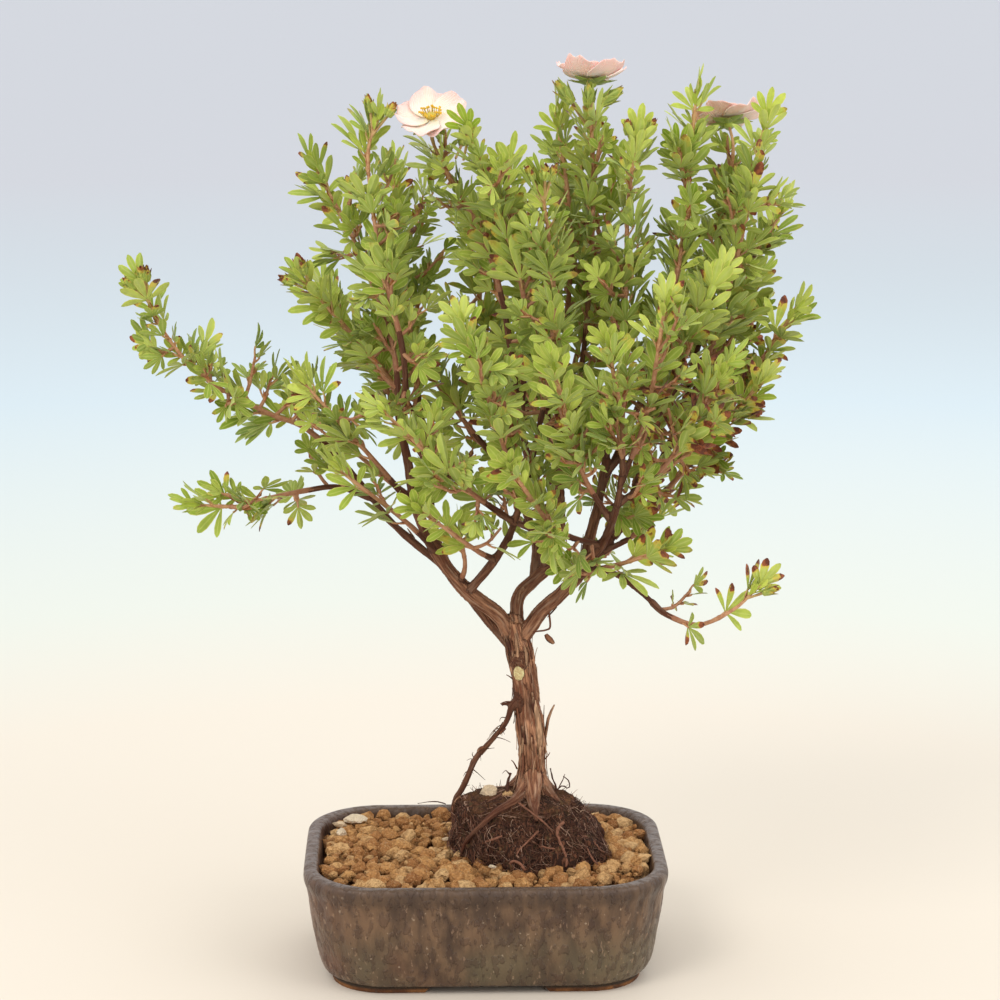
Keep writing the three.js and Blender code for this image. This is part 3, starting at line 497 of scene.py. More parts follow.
def settled(heap, name, materials):
    """The gathered mesh as a piece, with where each point lies on its own part and how it looks."""
    points = np.concatenate(heap["points"]) * MM + np.array(pot_middle)
    mesh = bpy.data.meshes.new(name)
    mesh.from_pydata(points.tolist(), [], heap["faces"])
    for material in materials:
        mesh.materials.append(material)
    mesh.polygons.foreach_set("material_index", heap["slots"])
    mesh.polygons.foreach_set("use_smooth", [True] * len(heap["faces"]))
    for key in ("place", "look"):
        attribute = mesh.attributes.new(key, "FLOAT_VECTOR", "POINT")
        attribute.data.foreach_set("vector", np.concatenate(heap[key]).astype(np.float32).ravel())
    mesh.update()
    piece = bpy.data.objects.new(name, mesh)
    bpy.context.scene.collection.objects.link(piece)
    return piece


def taken_apart(piece):
    """A modelled shape's points and faces, for copying. The model itself is put away."""
    points = points_of(piece.data)
    faces = [tuple(polygon.vertices) for polygon in piece.data.polygons]
    bpy.data.objects.remove(piece)
    return points, faces


def turned(rng):
    """A random turn, as a matrix."""
    matrix = np.linalg.qr(rng.standard_normal((3, 3)))[0]
    return matrix * np.sign(np.linalg.det(matrix))


def crumb(seed, subdivisions):
    """One crumbly lump of clay, about one unit in radius: broken flat on a few sides and pitted."""
    deselect()
    bpy.ops.mesh.primitive_ico_sphere_add(subdivisions=subdivisions, radius=1)
    points, faces = taken_apart(bpy.context.object)
    chance = np.random.RandomState(seed + 50)
    breaks = chance.standard_normal((11, 3))
    breaks /= np.linalg.norm(breaks, axis=1)[:, None]
    depths = chance.uniform(0.74, 1.02, 11)
    shape = []
    for point in points:
        facing = np.maximum(breaks @ point, 0.05)
        reach = min(1.14, float(np.min(depths / facing)))
        lump = noise.noise(Vector(point * 1.4) + Vector((seed * 9.1, 0, 0)))
        pit = noise.noise(Vector(point * 3.3) + Vector((0, seed * 7.7, 0)))
        shape.append(point * (reach + 0.3 * lump + 0.26 * pit))
    return np.array(shape), faces


def in_pot(x, y, inset):
    """Whether a place lies inside the rounded oblong that far in from the rim."""
    half_x, half_y = POT_LENGTH / 2 - inset, POT_WIDTH / 2 - inset
    corner = POT_CORNER - inset / 2
    over_x, over_y = max(abs(x) - half_x + corner, 0), max(abs(y) - half_y + corner, 0)
    return math.hypot(over_x, over_y) < corner


def off_roots(x, y, height):
    """How far a place lies outside the root mass at a height."""
    middle_x = ROOT_MASS[2][1]
    edge = root_mass_point(math.atan2(y - ROOT_MASS_Y, x - middle_x), height)
    return (math.hypot(x - middle_x, y - ROOT_MASS_Y)
            - math.hypot(edge[0] - middle_x, edge[1] - ROOT_MASS_Y))


rng = np.random.RandomState(GRIT["seed"])
lumps = [crumb(k, 2) for k in range(8)]
crumbs = [crumb(k + 20, 1) for k in range(3)]
grit = new_heap()
rows = int(POT_WIDTH / GRIT["pitch"] / GRIT["row"]) + 2
columns = int(POT_LENGTH / GRIT["pitch"]) + 2
for layer, drop in ((0, 0.0), (1, 3.3)):
    for row in range(rows):
        for column in range(columns):
            x = ((column - columns / 2 + (row % 2) / 2 + 0.5 * layer) * GRIT["pitch"]
                 + rng.uniform(-1.2, 1.2))
            y = ((row - rows / 2 + 0.33 * layer) * GRIT["pitch"] * GRIT["row"]
                 + rng.uniform(-1.2, 1.2))
            radius = rng.choice(LUMP_RADII, p=LUMP_SHARES)
            height = GRIT["level"] - drop + rng.uniform(-1.2, 1.3)
            if not in_pot(x, y, GRIT["inset"] + radius * 0.7) or off_roots(x, y, 38) < -1.5:
                continue
            points, faces = lumps[rng.randint(len(lumps))]
            shape = (points * rng.uniform(0.8, 1.2, 3)) @ turned(rng).T * radius
            shape[:, 2] *= 0.9
            heap_up(grit, shape + (x, y, height), faces, 0, points, (rng.uniform(), rng.uniform(), 0))
for _ in range(GRIT["crumbs"]):
    x, y = rng.uniform(-1, 1) * POT_LENGTH / 2, rng.uniform(-1, 1) * POT_WIDTH / 2
    radius = rng.uniform(0.5, 1.15)
    if not in_pot(x, y, GRIT["inset"] + 1) or off_roots(x, y, 38) < -1:
        continue
    points, faces = crumbs[rng.randint(len(crumbs))]
    shape = points @ turned(rng).T * radius
    heap_up(grit, shape + (x, y, GRIT["level"] + rng.uniform(0.2, 2.2)), faces, 0, points,
            (rng.uniform(), rng.uniform(), 0))
for place, size, (shade, paleness) in STRAYS:
    points, faces = lumps[int(size[0] * 10) % len(lumps)]
    spin = rng.uniform(0, 6)
    shape = points * size @ np.array([[math.cos(spin), -math.sin(spin), 0],
                                      [math.sin(spin), math.cos(spin), 0.15], [0, 0, 1]])
    heap_up(grit, shape + place, faces, 0, points, (shade, shade, paleness))
points, faces = taken_apart(drawn_up(BED_PROFILE, 20, 6))
heap_up(grit, (points - np.array(pot_middle)) / MM, faces)


def painted(tree, name):
    """What is stored on the points under a name, as three masks."""
    node = tree.nodes.new("ShaderNodeAttribute")
    node.attribute_name = name
    return separated(tree, node.outputs["Vector"])


akadama, tree, shader = new_material("akadama_clay", 0.95, 0.15)
look, spot = painted(tree, "look"), object_place(tree)
body = colour_ramp(tree, look[0], [
    (0, (160, 108, 64)), (0.35, (188, 134, 82)), (0.7, (208, 156, 98)), (1, (226, 184, 130))])
body = layered(tree, body, [
    (mottled(tree, spot, 700, 0.42, 0.62), 0.45, (132, 84, 44)),
    (mottled(tree, spot, 1900, 0.56, 0.66), 0.4, (222, 186, 138)),
    # Painted shade: the lower sides of the lumps and the bed beneath them are darkened with depth, as
    # the shade in the gaps between lumps.
    (ranged(tree, separated(tree, spot)[2], 0.0364, 0.0397, 0.75, 0), 1, (84, 52, 30)),
    (look[2], 1, (232, 216, 190))])
finished(tree, shader, body, mottled(tree, spot, 1300, 0.3, 0.7, 5), 0.0006)
grit = settled(grit, "akadama_grit", [akadama])
smooth(grit, 38)
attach(grit, "root")
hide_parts("soil")


# Root mass: the old root ball, lifted clear of the grit when the tree was set in this pot. Its core
# of packed earth and matted roots is bare, and dark from watering.
CORE = {"sides": 110, "levels": 46, "foot": 18, "shoulder": 60.5, "top": 61.9}


def closed_rings(rings, sides):
    """Faces round a row of rings of points, closed at both ends."""
    faces = []
    for ring in range(rings - 1):
        for side in range(sides):
            a, b = ring * sides + side, ring * sides + (side + 1) % sides
            faces.append((a, b, b + sides, a + sides))
    last = (rings - 1) * sides
    return faces + [tuple(reversed(range(sides))), tuple(range(last, last + sides))]


core_points = []
for height in np.linspace(CORE["foot"], CORE["shoulder"], CORE["levels"]):
    for k in range(CORE["sides"]):
        angle = 2 * math.pi * k / CORE["sides"]
        point = root_mass_point(angle, height, -0.4)
        clod = noise.noise(Vector(point) * 0.14) * 2.2 + noise.noise(Vector(point) * 0.42) * 1.6
        clod += noise.noise(Vector((point[0] * 0.9, point[1] * 0.9, point[2] * 0.35))) * 0.7
        core_points.append(point + np.array([math.cos(angle), math.sin(angle), 0.35]) * clod)
middle = np.array([ROOT_MASS[-2][1], ROOT_MASS_Y, CORE["top"]])
shoulder = core_points[-CORE["sides"]:]
for share in (0.7, 0.35):
    for edge in shoulder:
        point = middle + (edge - middle) * share
        core_points.append(point + (0, 0, 0.9 * noise.noise(Vector(point) * 0.5)))
core = new_heap()
heap_up(core, np.array(core_points), closed_rings(CORE["levels"] + 2, CORE["sides"]))

earth, tree, shader = new_material("matted_earth", 0.95, 0.2)
spot = object_place(tree)
heights = separated(tree, spot)[2]
fibres = mottled(tree, object_place(tree, (1, 1, 0.3)), 1100, 0.42, 0.6, 4)
dusty_top = worked(tree, "MULTIPLY", mottled(tree, spot, 90, 0.4, 0.6, 4),
                   ranged(tree, heights, 0.053, 0.058, 0, 0.45))
body = layered(tree, mixed(tree, fibres, (46, 28, 20), (98, 62, 44)), [
    (ranged(tree, heights, 0.0585, 0.0612, 0, 0.6), 1, (46, 31, 22)),
    (dusty_top, 1, (124, 84, 52)),
    (mottled(tree, spot, 420, 0.58, 0.66), 0.3, (118, 96, 62))])
finished(tree, shader, body, fibres, 0.0007)
core = settled(core, "root_core", [earth])
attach(core, "root")
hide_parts("root_mass")


# Roots: hundreds of hair-fine roots run down the root mass, with a few thick pinkish-brown ones
# over them. Broken twigs and curled hairs stick up round the foot of the trunk.
def normalised(vector):
    return vector / max(np.linalg.norm(vector), 1e-9)


def square_to(direction, handed_on):
    """Two directions square to a course's own, the first as near as can be to the one handed on."""
    first = normalised(handed_on - direction * np.dot(handed_on, direction))
    return first, np.cross(direction, first)


FIRST_SIDE = np.array([0.31, -0.95, 0.08])


def swung(first, second, turn):
    """A direction swung from the first towards the second, which is square to it."""
    return first * math.cos(turn) + second * math.sin(turn)


def lay_tube(heap, route, radii, sides, look=(0, 0, 0), slot=0):
    """A round stem through places, closed at both ends."""
    places = np.asarray(route, float)
    handed_on = FIRST_SIDE
    points, place = [], []
    run = 0.0
    for k, centre in enumerate(places):
        before, after = places[max(k - 1, 0)], places[min(k + 1, len(places) - 1)]
        first, second = square_to(normalised(after - before), handed_on)
        handed_on = first
        run += np.linalg.norm(centre - places[k - 1]) if k else 0
        for side in range(sides):
            angle = 2 * math.pi * side / sides
            points.append(centre + swung(first, second, angle) * radii[k])
            place.append((radii[k] * math.cos(angle), radii[k] * math.sin(angle), run))
    heap_up(heap, np.array(points), closed_rings(len(places), sides), slot, np.array(place), look)


def spread(values, share):
    """A value read from a list that is spread evenly from 0 to 1."""
    return float(np.interp(share * (len(values) - 1), range(len(values)), values))


def smooth_course(points, splits=6):
    """A smooth course through points, as evenly split places with their distance from the start."""
    points = [np.array(point, float) for point in points]
    course = []
    for k in range(len(points) - 1):
        p1, p2 = points[k], points[k + 1]
        p0 = points[k - 1] if k else 2 * p1 - p2
        p3 = points[k + 2] if k + 2 < len(points) else 2 * p2 - p1
        slope1, slope2, rise = (p2 - p0) / 2, (p3 - p1) / 2, p2 - p1
        for i in range(0 if k == 0 else 1, splits + 1):
            t = i / splits
            course.append(p1 + slope1 * t + (3 * rise - 2 * slope1 - slope2) * t * t
                          + (slope1 + slope2 - 2 * rise) * t * t * t)
    course = np.array(course)
    steps = np.linalg.norm(np.diff(course, axis=0), axis=1)
    return course, np.concatenate([[0], np.cumsum(steps)])


def along(course, distance):
    """The place and direction at a distance along a course."""
    places, distances = course
    k = min(max(int(np.searchsorted(distances, distance, side="left")), 1), len(places) - 1)
    share = (distance - distances[k - 1]) / (distances[k] - distances[k - 1])
    return (places[k - 1] + (places[k] - places[k - 1]) * share,
            normalised(places[k] - places[k - 1]))


def length_of(course):
    return course[1][-1]


THICK_ROOTS = [  # radius at the foot and the end, then places
    (0.5, 0.35, [(11.8, -11.6, 60.2), (16.9, -16.8, 57.8), (21.9, -18.6, 53.9), (24, -19.4, 51)]),
    (0.75, 0.5, [(27.9, -16.4, 54.4), (25.4, -19.4, 51.9), (26.6, -21.4, 48.1), (28.7, -23.6, 42.7),
                 (28.3, -24.6, 40.2)]),
    (0.45, 0.3, [(18.6, -20.8, 52.4), (14.9, -23.4, 49.4), (11.8, -25.3, 46.9), (10.9, -26.4, 44.6)]),
    (0.5, 0.35, [(18.5, -17.8, 50), (15.5, -20.5, 47), (12.5, -22.3, 44.5), (11.5, -23, 42),
                 (12, -24.4, 40.8)]),
    (0.6, 0.4, [(-0.6, -20.8, 48.4), (2.9, -21.9, 49.9), (5.8, -21.4, 50.9)]),
    (0.55, 0.4, [(32.6, -18.2, 49.6), (37, -13.6, 47.6), (40.1, -13.2, 44.2), (42.6, -12.6, 41.6)]),
    (0.6, 0.35, [(33, -15, 49), (36, -18, 45.5), (38, -21, 42), (40, -23, 40.6)]),
    (0.4, 0.3, [(19.6, -22.7, 47.4), (22.7, -22.4, 46.5), (26.1, -22, 46.2)]),
    (0.8, 0.5, [(8, -25.5, 41), (9.5, -27, 43.4), (12, -28.5, 42.8), (13.6, -29.5, 40.8)]),
    (0.6, 0.4, [(2, 14, 57), (-4, 18, 52), (-9, 21, 45), (-11, 22, 39)]),
    (1.3, 0.8, [(20, 9, 58), (29, 15, 52), (34, 18, 44), (36, 19, 38)]),
]
TWIG_BITS = [
    (0.5, 0.25, [(25.5, -2, 58), (25.9, -1, 62), (24.6, 0, 66), (23.8, 0, 69.5)]),
    (0.35, 0.2, [(25.9, -1, 61.5), (28.2, 0, 63), (30.4, 0, 61.8), (30.6, 0.5, 64.6),
                 (28.7, 0.5, 66.4)]),
    (0.3, 0.15, [(25.6, -1, 60), (27.4, -1.2, 64), (29.2, -0.8, 67.6)]),
    (0.75, 0.45, [(8.3, -5, 61), (8.1, -5, 64.5), (8.6, -5.2, 67), (9.3, -5.4, 69.4)]),
    (0.28, 0.12, [(9.1, -5.3, 68.6), (7.6, -5.4, 70.4), (6.3, -5.2, 69.2)]),
    (0.3, 0.15, [(-14, -2, 57), (-18, -4, 58.6), (-24, -5, 58.2)]),
]
HAIRS = {"count": 3000, "thickness": [0.07, 0.1, 0.15, 0.24], "shares": [0.38, 0.36, 0.2, 0.06],
         "foot": 38.5, "rise": 23.6, "top": 62.1, "upright": 170, "seed": 5}

roots = new_heap()
for start, end, places in THICK_ROOTS + TWIG_BITS:
    course = smooth_course(places, 5)
    steps = max(8, int(length_of(course) / 1.2))
    route, radii = [], []
    for k in range(steps + 1):
        spot = along(course, length_of(course) * k / steps)[0]
        near = Vector(spot) * 0.5
        wobble = np.array([noise.noise(near), noise.noise(near + Vector((9, 0, 0))), 0])
        route.append(spot + 0.35 * wobble)
        radii.append(spread([start, end], k / steps) * (0.85 + 0.5 * noise.noise(Vector(spot) * 0.8)))
    twig = start < 0.8 and places[-1][2] > 56
    lay_tube(roots, route, radii, 7, (0.2 if twig else 0.75, 0, 0))
rng = np.random.RandomState(HAIRS["seed"])
for _ in range(HAIRS["count"]):
    angle = rng.uniform(0, 2 * math.pi)
    height = HAIRS["foot"] + HAIRS["rise"] * rng.uniform() ** 0.75
    steps = rng.randint(5, 10)
    pace = rng.uniform(0.8, 1.5)
    heading = rng.normal(0, 0.95)
    lift = rng.uniform(-0.3, 0.7)
    curl = rng.normal(0, 0.22)
    route = []
    for _ in range(steps):
        route.append(root_mass_point(angle, height, lift))
        if height < HAIRS["foot"]:
            break
        heading += curl * 0.5 + rng.normal(0, 0.28)
        angle += pace * math.sin(heading) / (20 + abs(60 - height) * 0.4)
        height -= pace * math.cos(heading) * (0.9 if height < 56 else 0.35)
        height = min(height, HAIRS["top"])
        lift = min(max(lift + rng.normal(0, 0.16), -0.4), 1.3)
    if len(route) < 4:
        continue
    thick = rng.choice(HAIRS["thickness"], p=HAIRS["shares"])
    lay_tube(roots, route, np.linspace(thick, thick * 0.55, len(route)), 3,
             (rng.uniform() ** 1.1, rng.uniform(), 0))
for _ in range(HAIRS["upright"]):
    angle = rng.uniform(0, 2 * math.pi)
    start = root_mass_point(angle, rng.uniform(50, 60.5), 0)
    out = np.array([math.cos(angle), math.sin(angle), 0]) * rng.uniform(0.2, 0.9)
    bend = rng.normal(0, 0.5, 3)
    route = [start + (out * t + np.array([0, 0, 0.8]) * t + bend * t * t * 0.35) * rng.uniform(2.2, 3.4)
             for t in np.linspace(0, 1, 6)]
    lay_tube(roots, route, np.linspace(0.13, 0.06, 6), 4, (rng.uniform() ** 2, 0, 0))

root_skin, tree, shader = new_material("root_skin", 0.8, 0.3)
look, spot = painted(tree, "look"), object_place(tree)
body = colour_ramp(tree, look[0], [
    (0, (50, 29, 21)), (0.4, (98, 58, 42)), (0.75, (136, 90, 68)), (1, (206, 168, 142))])
body = layered(tree, body, [(ranged(tree, look[1], 0.86, 0.9, 0, 0.5), 1, (104, 84, 54)),
                            (mottled(tree, spot, 900, 0.45, 0.65), 0.4, (58, 34, 24))])
finished(tree, shader, body, mottled(tree, spot, 1600, 0.3, 0.7), 0.0002)
roots = settled(roots, "fine_roots", [root_skin])
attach(roots, "root")


# Wood: the trunk, its prop root and the limbs, grown as one, under old bark that splits and peels
# in long reddish-brown fibres. Each stem is drawn along its course and all are grown together.
TRUNK = {"radii": [8, 6.7, 5.0, 4.9, 4.75, 4.5, 4.9, 3.7],
         "points": [(17, 0, 49), (17, 0, 56), (17.3, 0, 64), (17.2, 0, 76), (15.9, 0, 90),
                    (13.8, 0, 106), (12.4, 0, 115), (10.6, 0, 124)]}
LIMBS = {
    "left": ([3.2, 1.5], [(9, 0, 120), (4.5, -2, 127.5), (-6, -6, 136.5), (-14, -9, 147),
                          (-21, -12, 160), (-25, -14, 173), (-27, -16, 186), (-30, -18, 200)]),
    "far_left": ([1.9, 1.2], [(10, 1, 114), (0, 6, 125), (-6, 10, 132), (-13, 13, 140), (-24, 16, 149),
                              (-34, 17, 158), (-42, 16, 169), (-48, 14, 177)]),
    "middle": ([2.9, 1.3], [(12, 0, 119), (12, 2, 132), (18, 6, 138), (23, 9, 142), (27, 14, 150),
                            (28, 18, 165), (25, 20, 183)]),
    "right": ([3.1, 1.4], [(13, 0, 117), (20, -4, 128.5), (27.3, -8, 136.5), (34, -12, 146),
                           (37, -16, 159), (40, -20, 174), (42, -24, 189)]),
    "left_back": ([1.9, 1.2], [(-13.5, -8.8, 147), (-17, 3, 154), (-19, 15, 164), (-20, 24, 177),
                               (-22, 30, 190)]),
    "right_back": ([2.1, 1.2], [(22.5, -5.3, 131.5), (38, 6, 143), (50, 17, 156), (61, 26, 170),
                                (70, 30, 185)]),
    "back": ([2.0, 1.2], [(18, 6, 138), (19, 20, 149), (14, 35, 163), (9, 46, 180)]),
    "front": ([1.9, 1.2], [(-6, -6, 136.5), (2, -18, 149), (8, -31, 162), (12, -40, 177)]),
    "front_right": ([1.9, 1.2], [(33, -11, 145), (40, -25, 157), (44, -38, 171), (46, -46, 187)]),
    "centre": ([1.8, 1.2], [(22, 9, 141), (21, 4, 158), (16, -4, 180), (12, -10, 203)]),
    "low_right": ([1.4, 1.0], [(31, -10, 142), (39, -18, 147), (46, -22, 146), (52, -24, 142),
                               (57, -26, 138)]),
}
PROP_ROOT = {"radii": [1.9, 1.6, 1.4, 1.3, 1.3, 1.4, 1.5, 1.6, 1.6, 1.3], "thinned": 0.82,
             "points": [(13, -1, 97), (9.9, -1.5, 93.5), (7.7, -1, 87), (2.2, 0, 80),
                        (-2.8, 1, 73.7), (-5.6, 1.5, 67.4), (-8, 2, 61.7), (-10.3, 3, 57.5),
                        (-11, 4, 51.5), (-10.5, 4, 44)]}
STUBS = [(0.8, [(13, -1, 95), (5.8, -2, 93.9)]), (1.9, [(12, -3, 110), (11.4, -5.6, 111)]),
         (1.1, [(27.5, 19, 171), (13, 12, 173)])]
ROOT_FLARES = [  # radii from the trunk outwards, then places
    ([3.4, 1.9, 1.2, 1.0, 0.7], [(15.5, -2, 66), (13.4, -7, 62.4), (9.2, -11.4, 59.9), (3, -16, 57.6),
                                 (-2.2, -17.8, 53.1), (-6.9, -12.4, 46), (-9, -10, 40)]),
    ([3.8, 3.0, 2.0, 0.8], [(17.4, -2.5, 68), (17.3, -7.5, 63.4), (17.4, -12, 60), (17.8, -16, 57.4),
                            (18.2, -18, 55)]),
    ([2.8, 1.6, 0.7], [(19.5, -1.5, 67), (23, -4, 61.8), (27, -7, 57.6), (31.5, -10.5, 51)]),
    ([2.6, 1.9, 0.9], [(15, 2.5, 66), (9, 6, 60), (2, 9.5, 55), (-3, 12, 50)]),
    ([2.6, 1.9, 0.9], [(19, 3, 66), (25, 7, 59), (31, 10, 52)]),
]
# Each leafy shoot's limb, where along it, the share that is bare wood, and the course to its tip
SHOOTS = {
    "far_left": ("far_left", 1, 0.18, [(-56, 9, 187), (-65, 4, 195), (-78, 0, 201), (-99, -8, 215),
                                       (-112, -11, 232), (-118, -12, 246)]),
    "low_left": ("far_left", 0.84, 0.4, [(-52, 13, 171), (-64, 6, 171), (-77, 0, 169.5),
                                         (-87, -4, 167.5), (-100, -9, 169)]),
    "left_1": ("left_back", 1, 0.25, [(-30, 12, 206), (-42, 2, 223), (-62, -8, 247)]),
    "left_2": ("left", 1, 0.2, [(-32, -9, 225), (-43, 0, 256), (-59, 2, 287)]),
    "left_3": ("left", 0.93, 0.35, [(-28, -20, 222), (-36, -18, 258), (-40, -16, 290),
                                    (-37, -15, 303)]),
    "left_4": ("left", 0.62, 0.3, [(-38, -20, 186), (-62, -24, 214)]),
    "left_5": ("left", 0.45, 0.3, [(-28, -24, 166), (-50, -36, 186)]),
    "left_6": ("left_back", 0.75, 0.3, [(-34, 33, 202), (-56, 40, 238)]),
    "left_7": ("left_back", 0.95, 0.3, [(-26, 34, 225), (-32, 32, 280)]),
    "left_8": ("left_back", 0.45, 0.3, [(-38, 26, 174), (-66, 32, 200)]),
    "bloom_1": ("centre", 1, 0.4, [(6, -14, 242), (-2, -14, 266)]),
    "centre_1": ("centre", 0.93, 0.4, [(14, -21, 236), (9, -24, 261), (0, -29, 286), (-5, -33, 300)]),
    "centre_2": ("front", 1, 0.3, [(20, -38, 212), (23, -34, 247), (19, -35, 282)]),
    "centre_3": ("middle", 1, 0.35, [(20, 12, 215), (15, 4, 247), (8, 8, 283)]),
    "bloom_2": ("middle", 0.85, 0.4, [(35, 12, 215), (38, 4, 258), (38, 2, 285)]),
    "centre_4": ("middle", 0.95, 0.45, [(29, 17, 220), (31, 10, 262), (26, 8, 302)]),
    "centre_5": ("middle", 0.9, 0.35, [(33, 30, 210), (48, 35, 280)]),
    "right_1": ("right", 1, 0.3, [(48, -15, 220), (49, -10, 251), (50, -8, 277), (53, -5, 296)]),
    "right_2": ("right", 0.85, 0.35, [(54, -12, 205), (64, -6, 235), (70, -1, 265), (74, 5, 310)]),
    "bloom_3": ("right_back", 1, 0.4, [(79, 26, 225), (85, 22, 262)]),
    "right_3": ("right_back", 0.8, 0.35, [(75, 8, 206), (84, -4, 238), (92, -6, 274), (97, -6, 302)]),
    "right_4": ("right_back", 0.9, 0.3, [(82, 18, 218), (94, 10, 250), (105, 10, 269)]),
    "right_5": ("right_back", 0.66, 0.35, [(78, 12, 190), (93, 4, 210), (108, -3, 235)]),
    "right_6": ("right_back", 0.45, 0.35, [(66, 4, 172), (80, -8, 192), (95, -18, 212)]),
    "right_7": ("right", 0.7, 0.3, [(54, -18, 176), (74, -24, 192)]),
    "right_8": ("right", 0.9, 0.3, [(60, -28, 206), (80, -24, 250)]),
    "right_9": ("right_back", 0.55, 0.3, [(62, 38, 186), (72, 50, 236)]),
    "right_10": ("right_back", 0.95, 0.25, [(84, 34, 205), (100, 34, 242)]),
    "right_11": ("right_back", 0.35, 0.3, [(58, 13, 156), (73, 18, 178)]),
    "front_1": ("front_right", 1, 0.15, [(45, -52, 208), (40, -60, 231)]),
    "front_2": ("front_right", 0.9, 0.2, [(54, -48, 208), (59, -55, 244)]),
    "front_3": ("front_right", 0.6, 0.25, [(32, -48, 188), (22, -64, 224)]),
    "front_4": ("front_right", 0.75, 0.3, [(62, -42, 190), (80, -46, 222)]),
    "front_5": ("front", 0.95, 0.25, [(4, -50, 202), (-8, -58, 238)]),
    "front_6": ("front", 0.8, 0.25, [(-8, -44, 182), (-34, -50, 208)]),
    "front_7": ("front", 0.4, 0.25, [(-4, -34, 158), (-22, -48, 174)]),
    "front_8": ("front_right", 0.35, 0.3, [(24, -40, 166), (8, -60, 190)]),
    "sprig": ("left", 0.3, 0.15, [(-7, -14, 148), (-9, -25, 162)]),
    "low_right_1": ("low_right", 0.3, 0.25, [(48, -30, 152), (60, -38, 158)]),
    "low_right_2": ("low_right", 1, 0.25, [(63, -28, 133), (74, -31, 130), (86, -33, 136),
                                           (93, -34, 143)]),
    "back_1": ("back", 1, 0.25, [(3, 52, 212), (-5, 56, 262)]),
    "back_2": ("back", 0.9, 0.3, [(22, 50, 212), (32, 54, 266)]),
    "back_3": ("back", 0.75, 0.3, [(-10, 46, 194), (-36, 52, 232)]),
    "back_4": ("back", 0.95, 0.25, [(14, 60, 198), (10, 74, 222)]),
    "back_5": ("back", 0.5, 0.3, [(28, 42, 162), (44, 60, 190)]),
    "back_6": ("back", 0.4, 0.3, [(4, 36, 158), (-18, 52, 180)]),
}
# Each bloom's middle at the base of its petals, the way it faces, how much its petals rise
BLOOMS = {
    "bloom_1": ((-18.3, -19, 304.8), (-0.12, -0.54, 0.83), 0.24),
    "bloom_2": ((37.4, 0, 317.5), (0.02, 0.2, 0.97), 0.42),
    "bloom_3": ((86.8, 20, 302), (-0.1, 0.4, 0.9), 0.16),
}
CALYX_DEPTH = 3.2
WOOD_VOXEL = 0.58
SHOOT_WOOD = [1.4, 1.15]

blooms = {name: (np.array(centre), normalised(np.array(facing)), cup)
          for name, (centre, facing, cup) in BLOOMS.items()}
limb_courses = {name: smooth_course(points) for name, (radii, points) in LIMBS.items()}
shoots = []
for name, (limb, at, bare, course) in SHOOTS.items():
    points = [along(limb_courses[limb], length_of(limb_courses[limb]) * at)[0], *course]
    if name in blooms:
        centre, facing, _ = blooms[name]
        points += [centre - 14 * facing, centre + (0.8 - CALYX_DEPTH) * facing]
    course = smooth_course(points)
    shoots.append({"name": name, "course": course, "length": length_of(course), "leaves": [],
                   "split": length_of(course) * bare, "bloom": name in blooms, "spurs": []})

# Each stem's course, its radii, and the share of the course that is wood
stems = [(smooth_course(TRUNK["points"]), TRUNK["radii"], 1),
         (smooth_course(PROP_ROOT["points"]),
          [PROP_ROOT["thinned"] * radius for radius in PROP_ROOT["radii"]], 1)]
stems += [(smooth_course(points), [radius, radius * 0.8], 1) for radius, points in STUBS]
stems += [(limb_courses[name], radii, 1) for name, (radii, points) in LIMBS.items()]
stems += [(shoot["course"], SHOOT_WOOD, shoot["split"] / shoot["length"]) for shoot in shoots]
stems += [(smooth_course(points), radii, 1) for radii, points in ROOT_FLARES]

wood = new_heap()
samples = []
for course, radii, wooden in stems:
    length = length_of(course) * wooden
    steps = max(4, int(length / 1.6))
    handed_on = FIRST_SIDE
    route, widths = [], []
    for k in range(steps + 1):
        share = k / steps
        spot, direction = along(course, length * share)
        first, second = square_to(direction, handed_on)
        handed_on = first
        radius = spread(radii, share)
        samples.append((spot, first, second, radius, length * share))
        route.append(spot)
        knot = 1 + 0.12 * noise.noise(Vector(spot) * 0.11) + 0.05 * noise.noise(Vector(spot) * 0.4)
        widths.append(radius * knot * (0.6 if share == 0 and radius < 3 else 1))
    lay_tube(wood, route, widths, 20 if radii[0] > 4 else 10)
wood = settled(wood, "wood", [])
applied(wood, "REMESH", mode="VOXEL", voxel_size=WOOD_VOXEL * MM)
applied(wood, "SMOOTH", factor=0.5, iterations=3)

tree_of_samples = kdtree.KDTree(len(samples))
for k, sample in enumerate(samples):
    tree_of_samples.insert(sample[0], k)
tree_of_samples.balance()


def on_stem(point):
    """The radius of the stem nearest to a point, and the point's place on it unrolled straight."""
    near = [(away - samples[k][3], k) for _, k, away in tree_of_samples.find_n(point, 5)]
    centre, first, second, radius, run = samples[min(near, key=lambda pair: pair[0])[1]]
    offset = np.array(point) - centre
    return radius, np.array([np.dot(offset, first), np.dot(offset, second),
                             run + np.dot(offset, np.cross(first, second))])


def bark_height(radius, grain, point):
    """Relief of the old bark in millimetres: long fibres, split into plates on the thick wood."""
    fibre = 1 - 2 * abs(noise.noise(Vector((grain[0] * 0.95, grain[1] * 0.95, grain[2] * 0.06))))
    fine = 1 - 2 * abs(noise.noise(Vector((grain[0] * 2.1, grain[1] * 2.1, grain[2] * 0.18 + 40))))
    twist = noise.noise(Vector(point) * 0.13)
    age = min(1, radius / 4.5)
    return age * (0.42 * fibre + 0.3 * fine * age + 0.6 * twist) - 0.42 * age


